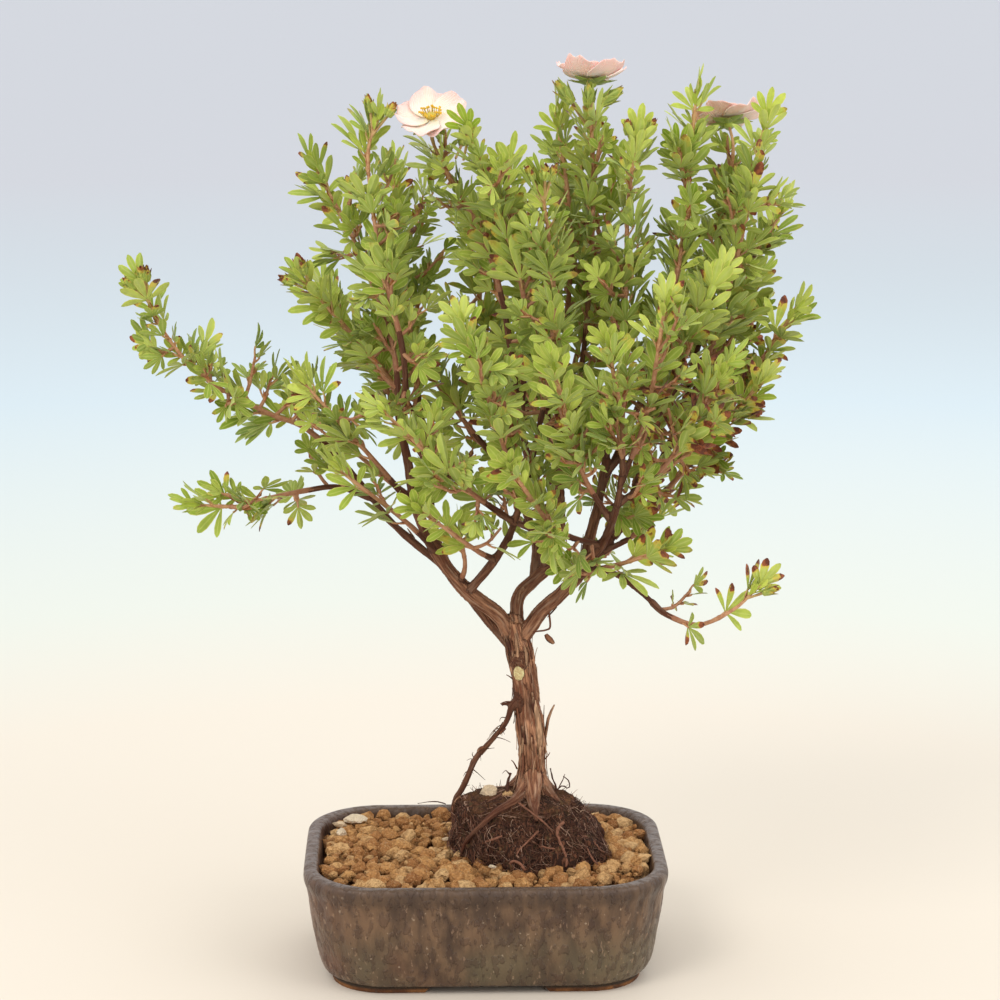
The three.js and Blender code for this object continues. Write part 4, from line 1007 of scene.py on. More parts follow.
flat = points_of(wood.data)
normals = points_of(wood.data, "normal")
grains, looks = np.empty_like(flat), np.empty_like(flat)
for k, point in enumerate(flat):
    local = (point - np.array(pot_middle)) / MM
    radius, grain = on_stem(local)
    height = bark_height(radius, grain, local)
    grains[k] = grain * MM
    looks[k] = (min(1, radius / 5), height, local[2] / 200)
    flat[k] = point + normals[k] * height * MM
wood.data.vertices.foreach_set("co", flat.ravel())
for key, values in (("grain", grains), ("look", looks)):
    stored = wood.data.attributes.get(key) or wood.data.attributes.new(key, "FLOAT_VECTOR", "POINT")
    stored.data.foreach_set("vector", values.astype(np.float32).ravel())
smooth(wood)

bark, tree, shader = new_material("peeling_bark", 0.85, 0.25)
grain = tree.nodes.new("ShaderNodeAttribute")
grain.attribute_name = "grain"
drawn = tree.nodes.new("ShaderNodeMapping")
drawn.inputs["Scale"].default_value = (1, 1, 0.09)
tree.links.new(grain.outputs["Vector"], drawn.inputs["Vector"])
fibres = mottled(tree, drawn.outputs["Vector"], 1250, 0.34, 0.64, 5)
streaks = mottled(tree, drawn.outputs["Vector"], 860, 0.52, 0.66, 5)
look = painted(tree, "look")
body = layered(tree, mixed(tree, fibres, (120, 72, 50), (196, 142, 106)), [
    (streaks, 0.55, (212, 174, 144)),
    (mottled(tree, object_place(tree), 60, 0.5, 0.62), 0.45, (112, 58, 38)),
    # Painted shade: the bark is darkened where its relief lies low, in the splits between the fibres.
    (ranged(tree, look[1], -0.62, -0.1, 0.8, 0), 1, (62, 34, 24)),
    (ranged(tree, look[0], 0.3, 0.75, 0.78, 0), 1, (80, 44, 30))])
relief = worked(tree, "ADD", fibres, worked(tree, "MULTIPLY", streaks, 0.6))
finished(tree, shader, body, relief, 0.00055)
wood.data.materials.clear()
wood.data.materials.append(bark)
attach(wood, "root")
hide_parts("tree")


# Bark strips: loose strips and hairs of bark that stand off the trunk and limbs, papery and pale
# at their torn ends. The largest curls off on the right, half way up. A cut twig has healed cream.
STRIPS = {"count": 150, "seed": 23, "hairs": 26}
PEELED = [  # course, the way its edge faces, half-width, thickness, paleness
    ([(21.6, -0.5, 79), (22.0, -0.6, 82), (22.4, -0.7, 85), (22.9, -0.6, 88), (24.0, -0.5, 91),
      (25.2, -0.4, 93.4)], (0.5, -0.8, 0), 1.0, 0.22, 0.75),
    ([(19.6, -4.0, 77), (19.9, -4.2, 80), (19.8, -4.1, 84), (19.3, -4.1, 88), (18.7, -4.1, 92),
      (18.0, -4.0, 96)], (0.8, 0.5, 0), 1.5, 0.25, 1),
    ([(21.7, -6.2, 120.9), (22.3, -6.4, 120), (23, -6.6, 119.2), (23.8, -6.5, 118.3),
      (24.6, -6.2, 117.4)], (0.3, -0.5, 0.8), 1.5, 0.2, 0.55)]
HANGING = [(17.1, -6, 121.7), (19, -6, 122), (21.7, -6, 122.4), (23.3, -6, 123.6), (22.9, -6, 128.6),
           (22.2, -6, 132.6), (22.9, -6, 134.8)]
SNAGS = [  # foot, tip and sag of a broken twig
    ((9.5, -2.2, 95), (5.6, -2.6, 94.4), 0.5), ((14.8, -4.8, 101), (13.6, -6.4, 103), 0.3),
    ((21.3, -1, 73), (23.6, -1.6, 76), -0.4), ((11.2, -2, 71), (9.6, -3, 73.5), 0.4),
    ((10.4, -1.4, 103), (7.8, -2, 105), 0.2)]
SCAR = {"place": (12.2, -4.7, 106.3), "facing": (-0.25, -0.96, 0.1), "width": 1.95, "height": 2.7}

rng = np.random.RandomState(STRIPS["seed"])
strips = new_heap()


def lay_strip(route, side, width, thick, paleness):
    """A thin ribbon through places, lens-shaped in section."""
    points, place = [], []
    steps = len(route) - 1
    for k, centre in enumerate(route):
        share = k / steps
        onward = normalised(np.array(route[min(k + 1, steps)]) - np.array(route[max(k - 1, 0)]))
        across = normalised(side - onward * np.dot(side, onward))
        out = np.cross(onward, across)
        half = width * (0.35 + 0.65 * math.sin(math.pi * min(1, 0.12 + share * 0.85)))
        for a, b in ((-1, 0), (0, -1), (1, 0), (0, 1)):
            points.append(centre + across * half * a + out * thick * b)
            place.append((share, a, b))
    heap_up(strips, np.array(points), closed_rings(len(route), 4), 0, np.array(place), (paleness, 0, 0))


for k in range(STRIPS["count"]):
    course, radii, _ = stems[0] if k % 3 else stems[rng.choice([1, 5, 6, 7, 8, 10])]
    middle = length_of(course) * rng.uniform(0.1, 0.92)
    length = rng.uniform(4, 15) * (1 if k % 3 else 0.6)
    direction = along(course, middle)[1]
    out = swung(*square_to(direction, FIRST_SIDE), rng.uniform(0, 2 * math.pi))
    side = np.cross(direction, out)
    lift = rng.uniform(0.2, 1.5) ** 2 * 0.7
    upward = rng.choice([-1, 1])
    route = []
    for t in np.linspace(0, 1, 7):
        here = min(max(middle + upward * (t - 0.5) * length, 1), length_of(course) - 1)
        hug = spread(radii, here / length_of(course)) + 0.15
        route.append(along(course, here)[0] + out * (hug + lift * t * t)
                     + side * 0.4 * math.sin(3 * t + k))
    lay_strip(route, side, rng.uniform(0.25, 0.95), 0.12, rng.uniform())
for route, side, width, thick, paleness in PEELED:
    lay_strip(route, np.array(side), width, thick, paleness)
hanging = smooth_course(HANGING)[0]
lay_tube(strips, hanging, np.linspace(0.3, 0.45, len(hanging)), 5, (0.25, 0, 0))
for start, end, sag in SNAGS:
    start, end = np.array(start), np.array(end)
    route = [start + (end - start) * t + np.array([0, 0, sag]) * math.sin(3 * t)
             for t in np.linspace(-0.3, 1, 6)]
    lay_tube(strips, route, np.linspace(0.35, 0.14, 6), 5, (0.2, 0, 0))
prop_course = stems[1][0]
for k in range(STRIPS["hairs"]):
    spot = along(prop_course, length_of(prop_course) * rng.uniform(0.15, 0.95))[0]
    out = normalised(rng.normal(0, 1, 3))
    bend = rng.normal(0, 1.2, 3)
    reach = rng.uniform(1.5, 5)
    route = [spot + out * (1.0 + reach * t) + bend * t * t + np.array([0, 0, -2.2 * t * t])
             for t in np.linspace(0, 1, 7)]
    lay_tube(strips, route, np.linspace(0.2, 0.08, 7), 4, (0.05, 0, 0))

loose_bark, tree, shader = new_material("loose_bark", 0.8, 0.25)
look, place = painted(tree, "look"), painted(tree, "place")
drawn = object_place(tree, (1, 1, 0.2))
body = colour_ramp(tree, look[0], [(0, (74, 40, 28)), (0.5, (142, 90, 62)), (1, (198, 156, 120))])
body = layered(tree, body, [(ranged(tree, place[0], 0.6, 1, 0, 0.5), 1, (206, 168, 132)),
                            (mottled(tree, drawn, 1200, 0.4, 0.6), 0.5, (86, 50, 34))])
finished(tree, shader, body, mottled(tree, drawn, 1800, 0.3, 0.7), 0.0002)
strips = settled(strips, "bark_strips", [loose_bark])
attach(strips, "root")

deselect()
bpy.ops.mesh.primitive_uv_sphere_add(segments=20, ring_count=12, radius=1)
points, faces = taken_apart(bpy.context.object)
facing = normalised(np.array(SCAR["facing"]))
first, second = square_to(facing, np.array([0, 0, 1.0]))
shape = []
for x, y, z in points:
    rim = 1 + 0.14 * noise.noise(Vector((x * 2.2, y * 2.2, 4)))
    dish = 0.55 * z if z < 0 else z * (0.28 + 0.5 * math.hypot(x, y))
    shape.append(np.array(SCAR["place"]) + first * y * SCAR["height"] * rim
                 + second * x * SCAR["width"] * rim + facing * dish)
scar = new_heap()
heap_up(scar, np.array(shape), faces)
healed, tree, shader = new_material("healed_cut", 0.7, 0.3)
spot = object_place(tree)
body = mixed(tree, mottled(tree, spot, 900, 0.4, 0.62), (226, 214, 158), (204, 180, 128))
finished(tree, shader, body, mottled(tree, spot, 1400, 0.3, 0.7), 0.0003)
scar = settled(scar, "pruning_scar", [healed])
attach(scar, "root")


# Leafy shoots: each young stem carries stalked leaves of three or five silky oblong leaflets in a
# spiral, a papery brown sheath at each joint, and an upright tuft of new leaflets at its tip.
LEAF = {"stalk": 5, "length": 13.5, "half_width": 1.78, "grown": 0.94}
LEAFLET_RINGS = [(0, 0.14), (0.2, 0.42), (0.45, 0.84), (0.7, 1.0), (0.89, 0.76), (1.0, 0.2)]
SCALE_RINGS = [(0, 0.7), (0.35, 1.0), (0.7, 0.6), (1.0, 0.1)]
LEAFLET_ANGLES = {5: [-80, -40, 0, 40, 80], 3: [-42, 0, 42]}
LEAFLET_SHARES = {5: [0.78, 0.95, 1, 0.95, 0.78], 3: [0.9, 1, 0.9]}
LEAF_SPACING = 17
LEAF_SEED = 4711
SPIRAL_TURN = 137.5
TRIES = [(0, 0), (35, 0), (-35, 0), (0, -18), (70, -8), (-70, -8), (110, 0), (180, -10)]
PETAL_REACH = 12.6
STEM_RADIUS = 1.3
BALLS_KEPT = 60000
TREE_OWNER, BLOOM_OWNER = -1, -2


def modelled_leaflet(rings):
    """A leaflet one unit long and one to each side, thickest at its rib."""
    deselect()
    bpy.ops.mesh.primitive_circle_add(vertices=4, radius=rings[0][1], fill_type="NGON",
                                      rotation=(0, math.pi / 2, 0))
    begin_edit()
    for (start, width), (end, next_width) in zip(rings, rings[1:]):
        grow = next_width / width
        drawn_on((end - start, 0, 0), (1, grow, grow), (end, 0, 0))
    end_edit()
    points, faces = taken_apart(bpy.context.object)
    place = []
    for point in points:
        width = float(np.interp(point[0], *zip(*rings)))
        across, raised = point[1] / width, point[2] / width
        section = -0.05 if abs(across) > 0.9 else 0.09 * raised
        point[2] = section * (0.4 + 0.6 * width)
        place.append((point[0], across, 1.0 if raised < -0.1 else 0.0))
    return points, faces, np.array(place)


leaflet_model = modelled_leaflet(LEAFLET_RINGS)
scale_model = modelled_leaflet(SCALE_RINGS)

random_state = LEAF_SEED


def draw():
    """The next repeatable random number between 0 and 1."""
    global random_state
    random_state = random_state * 16807 % 2147483647
    return random_state / 2147483647


taken = {"places": np.zeros((BALLS_KEPT, 3)), "radii": np.zeros(BALLS_KEPT),
         "owners": np.zeros(BALLS_KEPT, int), "count": 0}


def take(balls, owner):
    """Room kept for a stem, leaf or bloom, as balls that other shoots stay clear of."""
    for spot, radius in balls:
        k = taken["count"]
        taken["places"][k], taken["radii"][k], taken["owners"][k] = spot, radius, owner
        taken["count"] += 1


def is_clear(balls, owner):
    count = taken["count"]
    places = taken["places"][:count]
    near = np.sum((places - balls[0][0]) ** 2, axis=1) < 32 ** 2
    near &= taken["owners"][:count] != owner
    places, radii = places[near], taken["radii"][:count][near]
    spots = np.array([ball[0] for ball in balls])
    reach = np.array([ball[1] for ball in balls])[:, None] + radii[None, :]
    apart = np.sum((spots[:, None, :] - places[None, :, :]) ** 2, axis=2)
    return not bool(np.any(apart < reach ** 2))


def stem_balls(course, start, end, radius):
    return [(along(course, distance)[0], radius) for distance in np.arange(start, end, 2.5)]


def leaflets_of(leaf):
    """Each leaflet's direction, the direction across it, and its length."""
    found = []
    for degrees, share in zip(LEAFLET_ANGLES[leaf["count"]], LEAFLET_SHARES[leaf["count"]]):
        angle = math.radians(degrees * leaf["spread"])
        level = swung(leaf["forward"], leaf["side"], angle)
        across = swung(leaf["side"], -leaf["forward"], angle)
        found.append((swung(level, leaf["up"], leaf["cup"]), across, leaf["length"] * share))
    return found


def leaf_balls(leaf, ease):
    balls = [(leaf["hub"], 1.3 * ease), ((leaf["foot"] + leaf["hub"]) / 2, 0.9 * ease)]
    for direction, _, length in leaflets_of(leaf):
        for share, radius in ((0.3, 1.6), (0.5, 2.1), (0.7, 2.1), (0.93, 1.1)):
            balls.append((leaf["hub"] + direction * length * share, radius * ease))
    return balls


def leaf_at(course, distance, turn, lean, size, count, spread_by, cup):
    """A leaf whose stalk leans out from the stem and whose upper face looks to the shoot's tip."""
    spot, direction = along(course, distance)
    outward = swung(*square_to(direction, FIRST_SIDE), turn)
    forward = swung(direction, outward, lean)
    up = direction * math.sin(lean) - outward * math.cos(lean)
    return {"foot": spot, "hub": spot + forward * LEAF["stalk"] * size, "forward": forward, "up": up,
            "side": np.cross(up, forward), "count": count, "spread": spread_by, "cup": cup,
            "length": LEAF["length"] * size, "along": distance, "stem": direction}


def try_leaf(owner, course, distance, turn, lean, size, count, spread_by, cup, ease=1):
    """A leaf tried at several turns and leans, kept at the first that is clear of other shoots."""
    for turn_by, lean_by in TRIES:
        leaf = leaf_at(course, distance, turn + math.radians(turn_by), lean + math.radians(lean_by),
                       size, count, spread_by, cup)
        balls = leaf_balls(leaf, ease)
        if is_clear(balls, owner):
            take(balls, owner)
            shoots[owner]["leaves"].append(leaf)
            return


for name, (radii, _) in LIMBS.items():
    take(stem_balls(limb_courses[name], 0, length_of(limb_courses[name]), radii[0]), TREE_OWNER)
for owner, shoot in enumerate(shoots):
    take(stem_balls(shoot["course"], 0, shoot["split"], SHOOT_WOOD[0]), TREE_OWNER)
    take(stem_balls(shoot["course"], shoot["split"], shoot["length"], STEM_RADIUS), owner)
for centre, facing, _ in blooms.values():
    take([(centre + facing * 2, PETAL_REACH)], BLOOM_OWNER)
for owner, shoot in enumerate(shoots):
    course, length = shoot["course"], shoot["length"]
    start = draw() * 2 * math.pi
    if not shoot["bloom"]:
        try_leaf(owner, course, length - 1, start, math.radians(6), 0.8, 5, 0.75, 0.3)
        turn = start + math.radians(140 + 80 * draw())
        try_leaf(owner, course, length - 5, turn, math.radians(34), 0.85, 3, 0.8, 0.1)
for owner, shoot in enumerate(shoots):
    top = shoot["length"] - (16 if shoot["bloom"] else 9)
    run = top - shoot["split"] - 3
    count = max(1, math.floor(run / LEAF_SPACING + 0.5))
    for k in range(count):
        distance = top - run * (k + 0.1 + 0.3 * draw()) / count
        turn = math.radians(SPIRAL_TURN * (k + 1) + 30 * draw()) + draw()
        lean = math.radians(42 + 20 * draw() + 10 * k / count)
        size = 0.86 + 0.3 * draw()
        leaflets = 5 if draw() < 0.62 else 3
        try_leaf(owner, shoot["course"], distance, turn, lean, size, leaflets, 1, 0.1 + 0.14 * draw())

# Between those leaves go more leaves, at every joint, and short side twigs low down
EXTRA = {"spacing": 3.3, "seed": 31, "spur_every": 6.4, "spur_reach": 0.75, "ease": 0.48}
LEAFLET_COUNTS = [3, 3, 5, 5, 5]
SPUR_LEAVES = [(1, 10), (0.85, 38), (0.6, 50), (0.4, 56)]
BLOOM_ROOM = {"heart": 10.5, "raised": 7.5, "petals": 3.2, "ring": 8.5, "count": 10}
SHED = {"below": 190, "left": -28, "right": 50, "kept": 0.3}
SHED_LOW_LEFT = {"below": 168, "left_of": 4}
rng = np.random.RandomState(EXTRA["seed"])
held = taken["owners"] == BLOOM_OWNER
taken["places"][held] = [centre + facing * BLOOM_ROOM["raised"]
                         for centre, facing, _ in blooms.values()]
taken["radii"][held] = BLOOM_ROOM["heart"]
for centre, facing, cup in blooms.values():
    first, second = square_to(facing, FIRST_SIDE)
    for turn in np.arange(BLOOM_ROOM["count"]) * math.pi / 5:
        spot = centre + swung(first, second, turn) * BLOOM_ROOM["ring"] + facing * (5 * cup + 0.5)
        take([(spot, BLOOM_ROOM["petals"])], BLOOM_OWNER)


def has_shed(spot):
    """Low down and far out, and low on the left limb, the twigs have lost most of these leaves."""
    far_out = spot[2] < SHED["below"] and not SHED["left"] < spot[0] < SHED["right"]
    low_left = spot[2] < SHED_LOW_LEFT["below"] and spot[0] < SHED_LOW_LEFT["left_of"]
    return (far_out or low_left) and rng.uniform() > SHED["kept"]


for owner, shoot in enumerate(shoots):
    course, split = shoot["course"], shoot["split"]
    top = shoot["length"] - (12 if shoot["bloom"] else 6)
    count = max(2, int((top - split) / EXTRA["spacing"]))
    for k in range(count):
        distance = top - (top - split - 1) * (k + rng.uniform(0.2, 0.8)) / count
        if has_shed(along(course, distance)[0]):
            continue
        large = 1.15 if k > count * 0.6 else 0.95
        try_leaf(owner, course, distance, rng.uniform(0, 2 * math.pi),
                 math.radians(rng.uniform(20, 50)), large * rng.uniform(0.5, 1.1),
                 rng.choice(LEAFLET_COUNTS), rng.uniform(0.75, 1.0), rng.uniform(-0.1, 0.35),
                 EXTRA["ease"])
    reach = split + EXTRA["spur_reach"] * (shoot["length"] - split)
    for distance in np.arange(5, reach, EXTRA["spur_every"]):
        spot, direction = along(course, distance)
        if has_shed(spot):
            continue
        out = normalised(rng.normal(0, 1, 3) + np.array([0, 0, 0.6]) - direction * 0.2)
        reach_out = rng.uniform(7, 14)
        spur = smooth_course([spot, spot + out * reach_out * 0.5,
                              spot + out * reach_out + (0, 0, reach_out * 0.35)], 4)
        if not is_clear(stem_balls(spur, 4, length_of(spur), 1.0), owner):
            continue
        before = len(shoot["leaves"])
        for at, lean in SPUR_LEAVES:
            try_leaf(owner, spur, length_of(spur) * at, rng.uniform(0, 2 * math.pi), math.radians(lean),
                     rng.uniform(0.45, 0.85), rng.choice(LEAFLET_COUNTS), 0.9,
                     rng.uniform(-0.05, 0.35), EXTRA["ease"])
        if len(shoot["leaves"]) > before:
            take(stem_balls(spur, 2, length_of(spur), 1.0), owner)
            shoot["spurs"].append(spur)


def lay_leaflet(heap, base, direction, across, length, half_width, bend, fold, look,
                model=leaflet_model):
    """A copy of the leaflet, bent along its length and folded along its rib."""
    points, faces, place = model
    height = (points[:, 2] * half_width + fold * np.abs(points[:, 1]) * half_width
              + bend * points[:, 0] ** 2 * length)
    drawn_in = half_width / math.sqrt(1 + 0.6 * fold * fold)
    laid = (base + direction * (points[:, :1] * length) + across * (points[:, 1:2] * drawn_in)
            + np.cross(direction, across) * height[:, None])
    heap_up(heap, laid, faces, 0, place, look)


def lay_scale(heap, base, direction, out, length, half_width, look):
    """A papery sheath scale that hugs the stem."""
    points, faces, place = scale_model
    hug = -0.45 * points[:, 1] ** 2 * half_width + 0.9 * points[:, 0] ** 2
    laid = (base + direction * (points[:, :1] * length)
            + np.cross(direction, out) * (points[:, 1:2] * half_width)
            + out * (points[:, 2] * half_width * 0.6 + hug)[:, None])
    heap_up(heap, laid, faces, 2, place, look)


STALK_RADII = [0.5, 0.38, 0.34, 0.4]
BROWNED = {"low": 222, "right": 50, "often": 0.5, "elsewhere": 0.02, "tips": 0.1}


def lay_leaf(heap, leaf, age):
    """A stalk and its leaflets, each a little different in size, bend and colour."""
    shade = rng.uniform()
    hub, foot, forward, stem = leaf["hub"], leaf["foot"], leaf["forward"], leaf["stem"]
    lower_right = hub[2] < BROWNED["low"] and hub[0] > BROWNED["right"]
    often = BROWNED["often"] if lower_right else BROWNED["elsewhere"]
    sag = leaf["up"] * 0.25
    stalk = [foot - forward * 0.6, foot * 0.66 + hub * 0.34 - sag,
             foot * 0.33 + hub * 0.67 - sag, hub]
    lay_tube(heap, stalk, STALK_RADII, 4, (0.35 + 0.5 * age, 0, shade), 1)
    for k, (direction, across, length) in enumerate(leaflets_of(leaf)):
        brown = rng.uniform(0.12, 0.3) + 0.4 * rng.uniform() ** 4 if rng.uniform() < often else 0.0
        if not brown and rng.uniform() < BROWNED["tips"]:
            brown = rng.uniform(0.04, 0.12)
        length *= LEAF["grown"] * rng.uniform(0.88, 1.05)
        half_width = LEAF["half_width"] * rng.uniform(0.82, 1.15) * (0.3 + 0.7 * length / 12)
        outer = abs(k - (leaf["count"] - 1) / 2) / leaf["count"]
        base = hub - forward * 2.2 * outer * leaf["length"] / LEAF["length"]
        lay_leaflet(heap, base, direction, across, length, half_width, rng.uniform(-0.16, 0.1),
                    rng.uniform(0.1, 0.5), (age, brown, min(1, max(0, shade + rng.normal(0, 0.12)))))
    lay_scale(heap, foot - stem * 1.2 + forward * 0.3, normalised(stem + forward * 0.3),
              normalised(forward - stem * np.dot(forward, stem)),
              rng.uniform(2.6, 4.0), rng.uniform(0.75, 1.05), (rng.uniform(), 0, 0))


def veined(tree, masks, scale, distortion):
    """Fine veins, as waves that run across a mask or a pair of masks."""
    veins = tree.nodes.new("ShaderNodeTexWave")
    veins.inputs["Scale"].default_value = scale
    veins.inputs["Distortion"].default_value = distortion
    joined = tree.nodes.new("ShaderNodeCombineXYZ")
    for mask, socket in zip(masks, joined.inputs):
        tree.links.new(mask, socket)
    tree.links.new(joined.outputs[0], veins.inputs["Vector"])
    return veins.outputs["Fac"]


leaf_green, tree, shader = new_material("leaf_green", 0.55, 0.25)
look, place, spot = painted(tree, "look"), painted(tree, "place"), object_place(tree)
mature = mixed(tree, look[2], (114, 141, 28), (180, 193, 74))
fresh = mixed(tree, look[2], (158, 182, 40), (208, 216, 92))
off_rib = worked(tree, "ABSOLUTE", place[1], 0)
rib = ranged(tree, off_rib, 0.0, 0.22, 0.55, 0)
margin = ranged(tree, off_rib, 0.76, 0.9, 0, 0.55)
slant = worked(tree, "SUBTRACT", place[0], worked(tree, "MULTIPLY", off_rib, 0.22))
veins = ranged(tree, veined(tree, [slant], 4.2, 1.2), 0.7, 1.0)
veins = worked(tree, "MULTIPLY", veins, 0.18)
ragged = worked(tree, "MULTIPLY", mottled(tree, spot, 420, 0.3, 0.7), 0.28)
to_tip = worked(tree, "SUBTRACT", worked(tree, "ADD", place[0], ragged),
                worked(tree, "SUBTRACT", 1.14, look[1]))
has_brown = ranged(tree, look[1], 0.02, 0.1)
yellowed = worked(tree, "MULTIPLY", ranged(tree, to_tip, -0.26, -0.03), has_brown)
browned = worked(tree, "MULTIPLY", ranged(tree, to_tip, -0.04, 0.04), has_brown)
brown = mixed(tree, mottled(tree, spot, 500, 0.4, 0.6), (98, 46, 26), (150, 80, 42))
body = layered(tree, mixed(tree, look[0], mature, fresh), [
    (mottled(tree, spot, 260, 0.42, 0.62), 0.3, (116, 132, 42)),
    (rib, 1, (202, 208, 108)),
    (margin, 1, (222, 212, 118)),
    (veins, 1, (170, 180, 100)),
    (place[2], 0.5, (178, 186, 108)),
    (yellowed, 0.75, (216, 178, 62)),
    (browned, 1, brown)])
silk = worked(tree, "MULTIPLY", mottled(tree, spot, 2500, 0.3, 0.7), 0.2)
finished(tree, shader, body, worked(tree, "ADD", veins, silk), 0.00018)
shader.inputs["Sheen Weight"].default_value = 0.15
shader.inputs["Sheen Roughness"].default_value = 0.5


def speckled(name, surface, stops, specks, relief):
    """A skin shaded by its stored look, with darker specks and low relief."""
    skin, tree, shader = new_material(name, *surface)
    spot = object_place(tree)
    scale, low, high, strength, colour = specks
    body = layered(tree, colour_ramp(tree, painted(tree, "look")[0], stops),
                   [(mottled(tree, spot, scale, low, high), strength, colour)])
    finished(tree, shader, body, mottled(tree, spot, relief, 0.3, 0.7), 0.00015)
    return skin


stem_skin = speckled("young_stem", (0.6, 0.35), [
    (0, (146, 98, 72)), (0.4, (202, 150, 110)), (0.75, (188, 170, 100)), (1, (186, 190, 104))],
    (500, 0.45, 0.6, 0.4, (146, 82, 52)), 1600)
sheath = speckled("papery_sheath", (0.6, 0.3), [
    (0, (138, 78, 44)), (0.5, (186, 120, 70)), (1, (216, 166, 116))],
    (1100, 0.45, 0.6, 0.5, (150, 82, 44)), 1500)

for shoot in shoots:
    heap = new_heap()
    course, length, split = shoot["course"], shoot["length"], shoot["split"]
    steps = max(5, int((length - split) / 2.4))
    route, widths = [], []
    for k in range(steps + 1):
        share = k / steps
        route.append(along(course, split - 2.5 + (length - split + 2.5) * share)[0])
        joint = 0.16 * max(0, math.sin(share * steps * 1.1)) ** 3
        widths.append(spread([0.95, 0.75, 0.5], share) + joint)
    lay_tube(heap, route, widths, 7, slot=1)
    heap["look"][-1][:, 0] = np.repeat(np.linspace(0.05, 0.5, steps + 1), 7)
    for spur in shoot["spurs"]:
        lay_tube(heap, [along(spur, length_of(spur) * t)[0] for t in np.linspace(0, 1, 6)],
                 np.linspace(0.75, 0.45, 6), 6, (0.2, 0, 0), 1)
    for leaf in shoot["leaves"]:
        # Leaves near a shoot's tip are younger and fresher; leaves higher in the crown are also made
        # fresher and lighter, as painted light from above.
        nearness = max(0, 1 - (length - leaf["along"]) / 26) if leaf["along"] <= length else 0
        top_light_share = min(1, max(0, (leaf["hub"][2] - 170) / 150))
        lay_leaf(heap, leaf, min(1, 0.5 * nearness + 0.38 * top_light_share + 0.08))
    tip, direction = along(course, length - 0.5)
    for k in range(0 if shoot["bloom"] else 6):
        out = swung(*square_to(direction, FIRST_SIDE), 2.4 * k)
        onward = swung(direction, out, math.radians(8 + 5 * k))
        across = normalised(np.cross(out, onward))
        lay_leaflet(heap, tip - direction * 0.5 * k, normalised(onward), across,
                    rng.uniform(5, 9), rng.uniform(0.9, 1.35), rng.uniform(0.0, 0.12), 0.6,
                    (1, 0.0, rng.uniform(0.3, 1)))
    spray = settled(heap, "spray_" + shoot["name"], [leaf_green, stem_skin, sheath])
    smooth(spray, 50)
    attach(spray, "root")
    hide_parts("shoot_" + shoot["name"])


# Blooms: three open flowers of five round lapped petals, cream blushed with pink, round a tuft of
# yellow stamens. Five sepals and five narrower bracts hold each one on its stalk.
PETAL = {"reach": 13, "half_width": 6.9, "thick": 0.28, "blank": 0.03, "cells": (14, 12)}
HEART_RADIUS = 1.9
STAMENS = 28
BLOOM_SEED = 77
BUDS = {  # stalk's foot, bud's base, tip of its sepals, half-width
    "bloom_1": [((-7.5, -26, 291), (-6.4, -28, 296.4), (-4.6, -29.5, 303), 1.9),
                ((-10, -18, 291), (-8, -13, 295), (-6.5, -9.5, 301), 1.5)],
    "bloom_2": [((36, 0, 300), (30.4, -2, 308.6), (24.6, -3, 317), 2.3),
                ((36, 0, 300), (40.4, -2, 308.6), (48, -3, 313.4), 2.4),
                ((36, -1, 300), (36, -5, 307.4), (36.4, -6.5, 316.6), 2.2)],
}


def modelled_petal():
    """A round petal on a short claw, one unit long and one to each side; its margin is waved where each
    copy is laid.
    """
    deselect()
    bpy.ops.mesh.primitive_grid_add(x_subdivisions=PETAL["cells"][0],
                                    y_subdivisions=PETAL["cells"][1], size=2)
    petal = bpy.context.object
    for vertex in petal.data.vertices:
        u, v = (vertex.co.x + 1) / 2, vertex.co.y
        width = 0.16 + 0.86 * math.sin(math.pi * min(1, u ** 0.85 * 0.72 + 0.02)) ** 0.8
        length = u * (1 - 0.2 * v * v * u) - 0.05 * u * max(0, 1 - (v / 0.25) ** 2)
        vertex.co = (length, v * width, 0)
    applied(petal, "SOLIDIFY", thickness=PETAL["blank"], offset=0)
    return taken_apart(petal)


def ball(subdivisions):
    deselect()
    bpy.ops.mesh.primitive_ico_sphere_add(subdivisions=subdivisions, radius=1)
    return taken_apart(bpy.context.object)


petal_points, petal_faces = modelled_petal()
anther_points, anther_faces = ball(1)
heart_points, heart_faces = ball(3)

petal_skin, tree, shader = new_material("petal_skin", 0.7, 0.2)
place = painted(tree, "place")
outward = ranged(tree, place[0], 0.35, 1.0)
to_sides = worked(tree, "MULTIPLY", worked(tree, "ABSOLUTE", place[1], 0), 0.6)
flush = worked(tree, "MULTIPLY", worked(tree, "ADD", outward, to_sides), 0.75)
veins = veined(tree, [place[1], worked(tree, "MULTIPLY", place[0], 0.15)], 3.4, 2.0)
body = mixed(tree, ranged(tree, flush, 0.4, 1.1), (251, 233, 216), (248, 190, 186))
body = layered(tree, body, [
    (ranged(tree, place[0], 0.0, 0.28, 0.6, 0), 1, (248, 232, 170)),
    (ranged(tree, place[2], -0.012, -0.004, 0.6, 0), 1, (252, 206, 196)),
    (ranged(tree, veins, 0.6, 1, 0, 0.16), 1, (240, 190, 176))])
finished(tree, shader, body, veins, 0.00012)
shader.inputs["Subsurface Weight"].default_value = 0.7
shader.inputs["Subsurface Radius"].default_value = (0.006, 0.004, 0.0035)
shader.inputs["Sheen Weight"].default_value = 0.2

anther_skin, tree, shader = new_material("anther_yellow", 0.6, 0.3)
spot = object_place(tree)
body = mixed(tree, painted(tree, "look")[0], (206, 196, 92), (236, 190, 40))
body = layered(tree, body, [(mottled(tree, spot, 2200, 0.4, 0.6), 0.5, (214, 150, 30))])
finished(tree, shader, body, mottled(tree, spot, 3000, 0.3, 0.7), 0.0001)


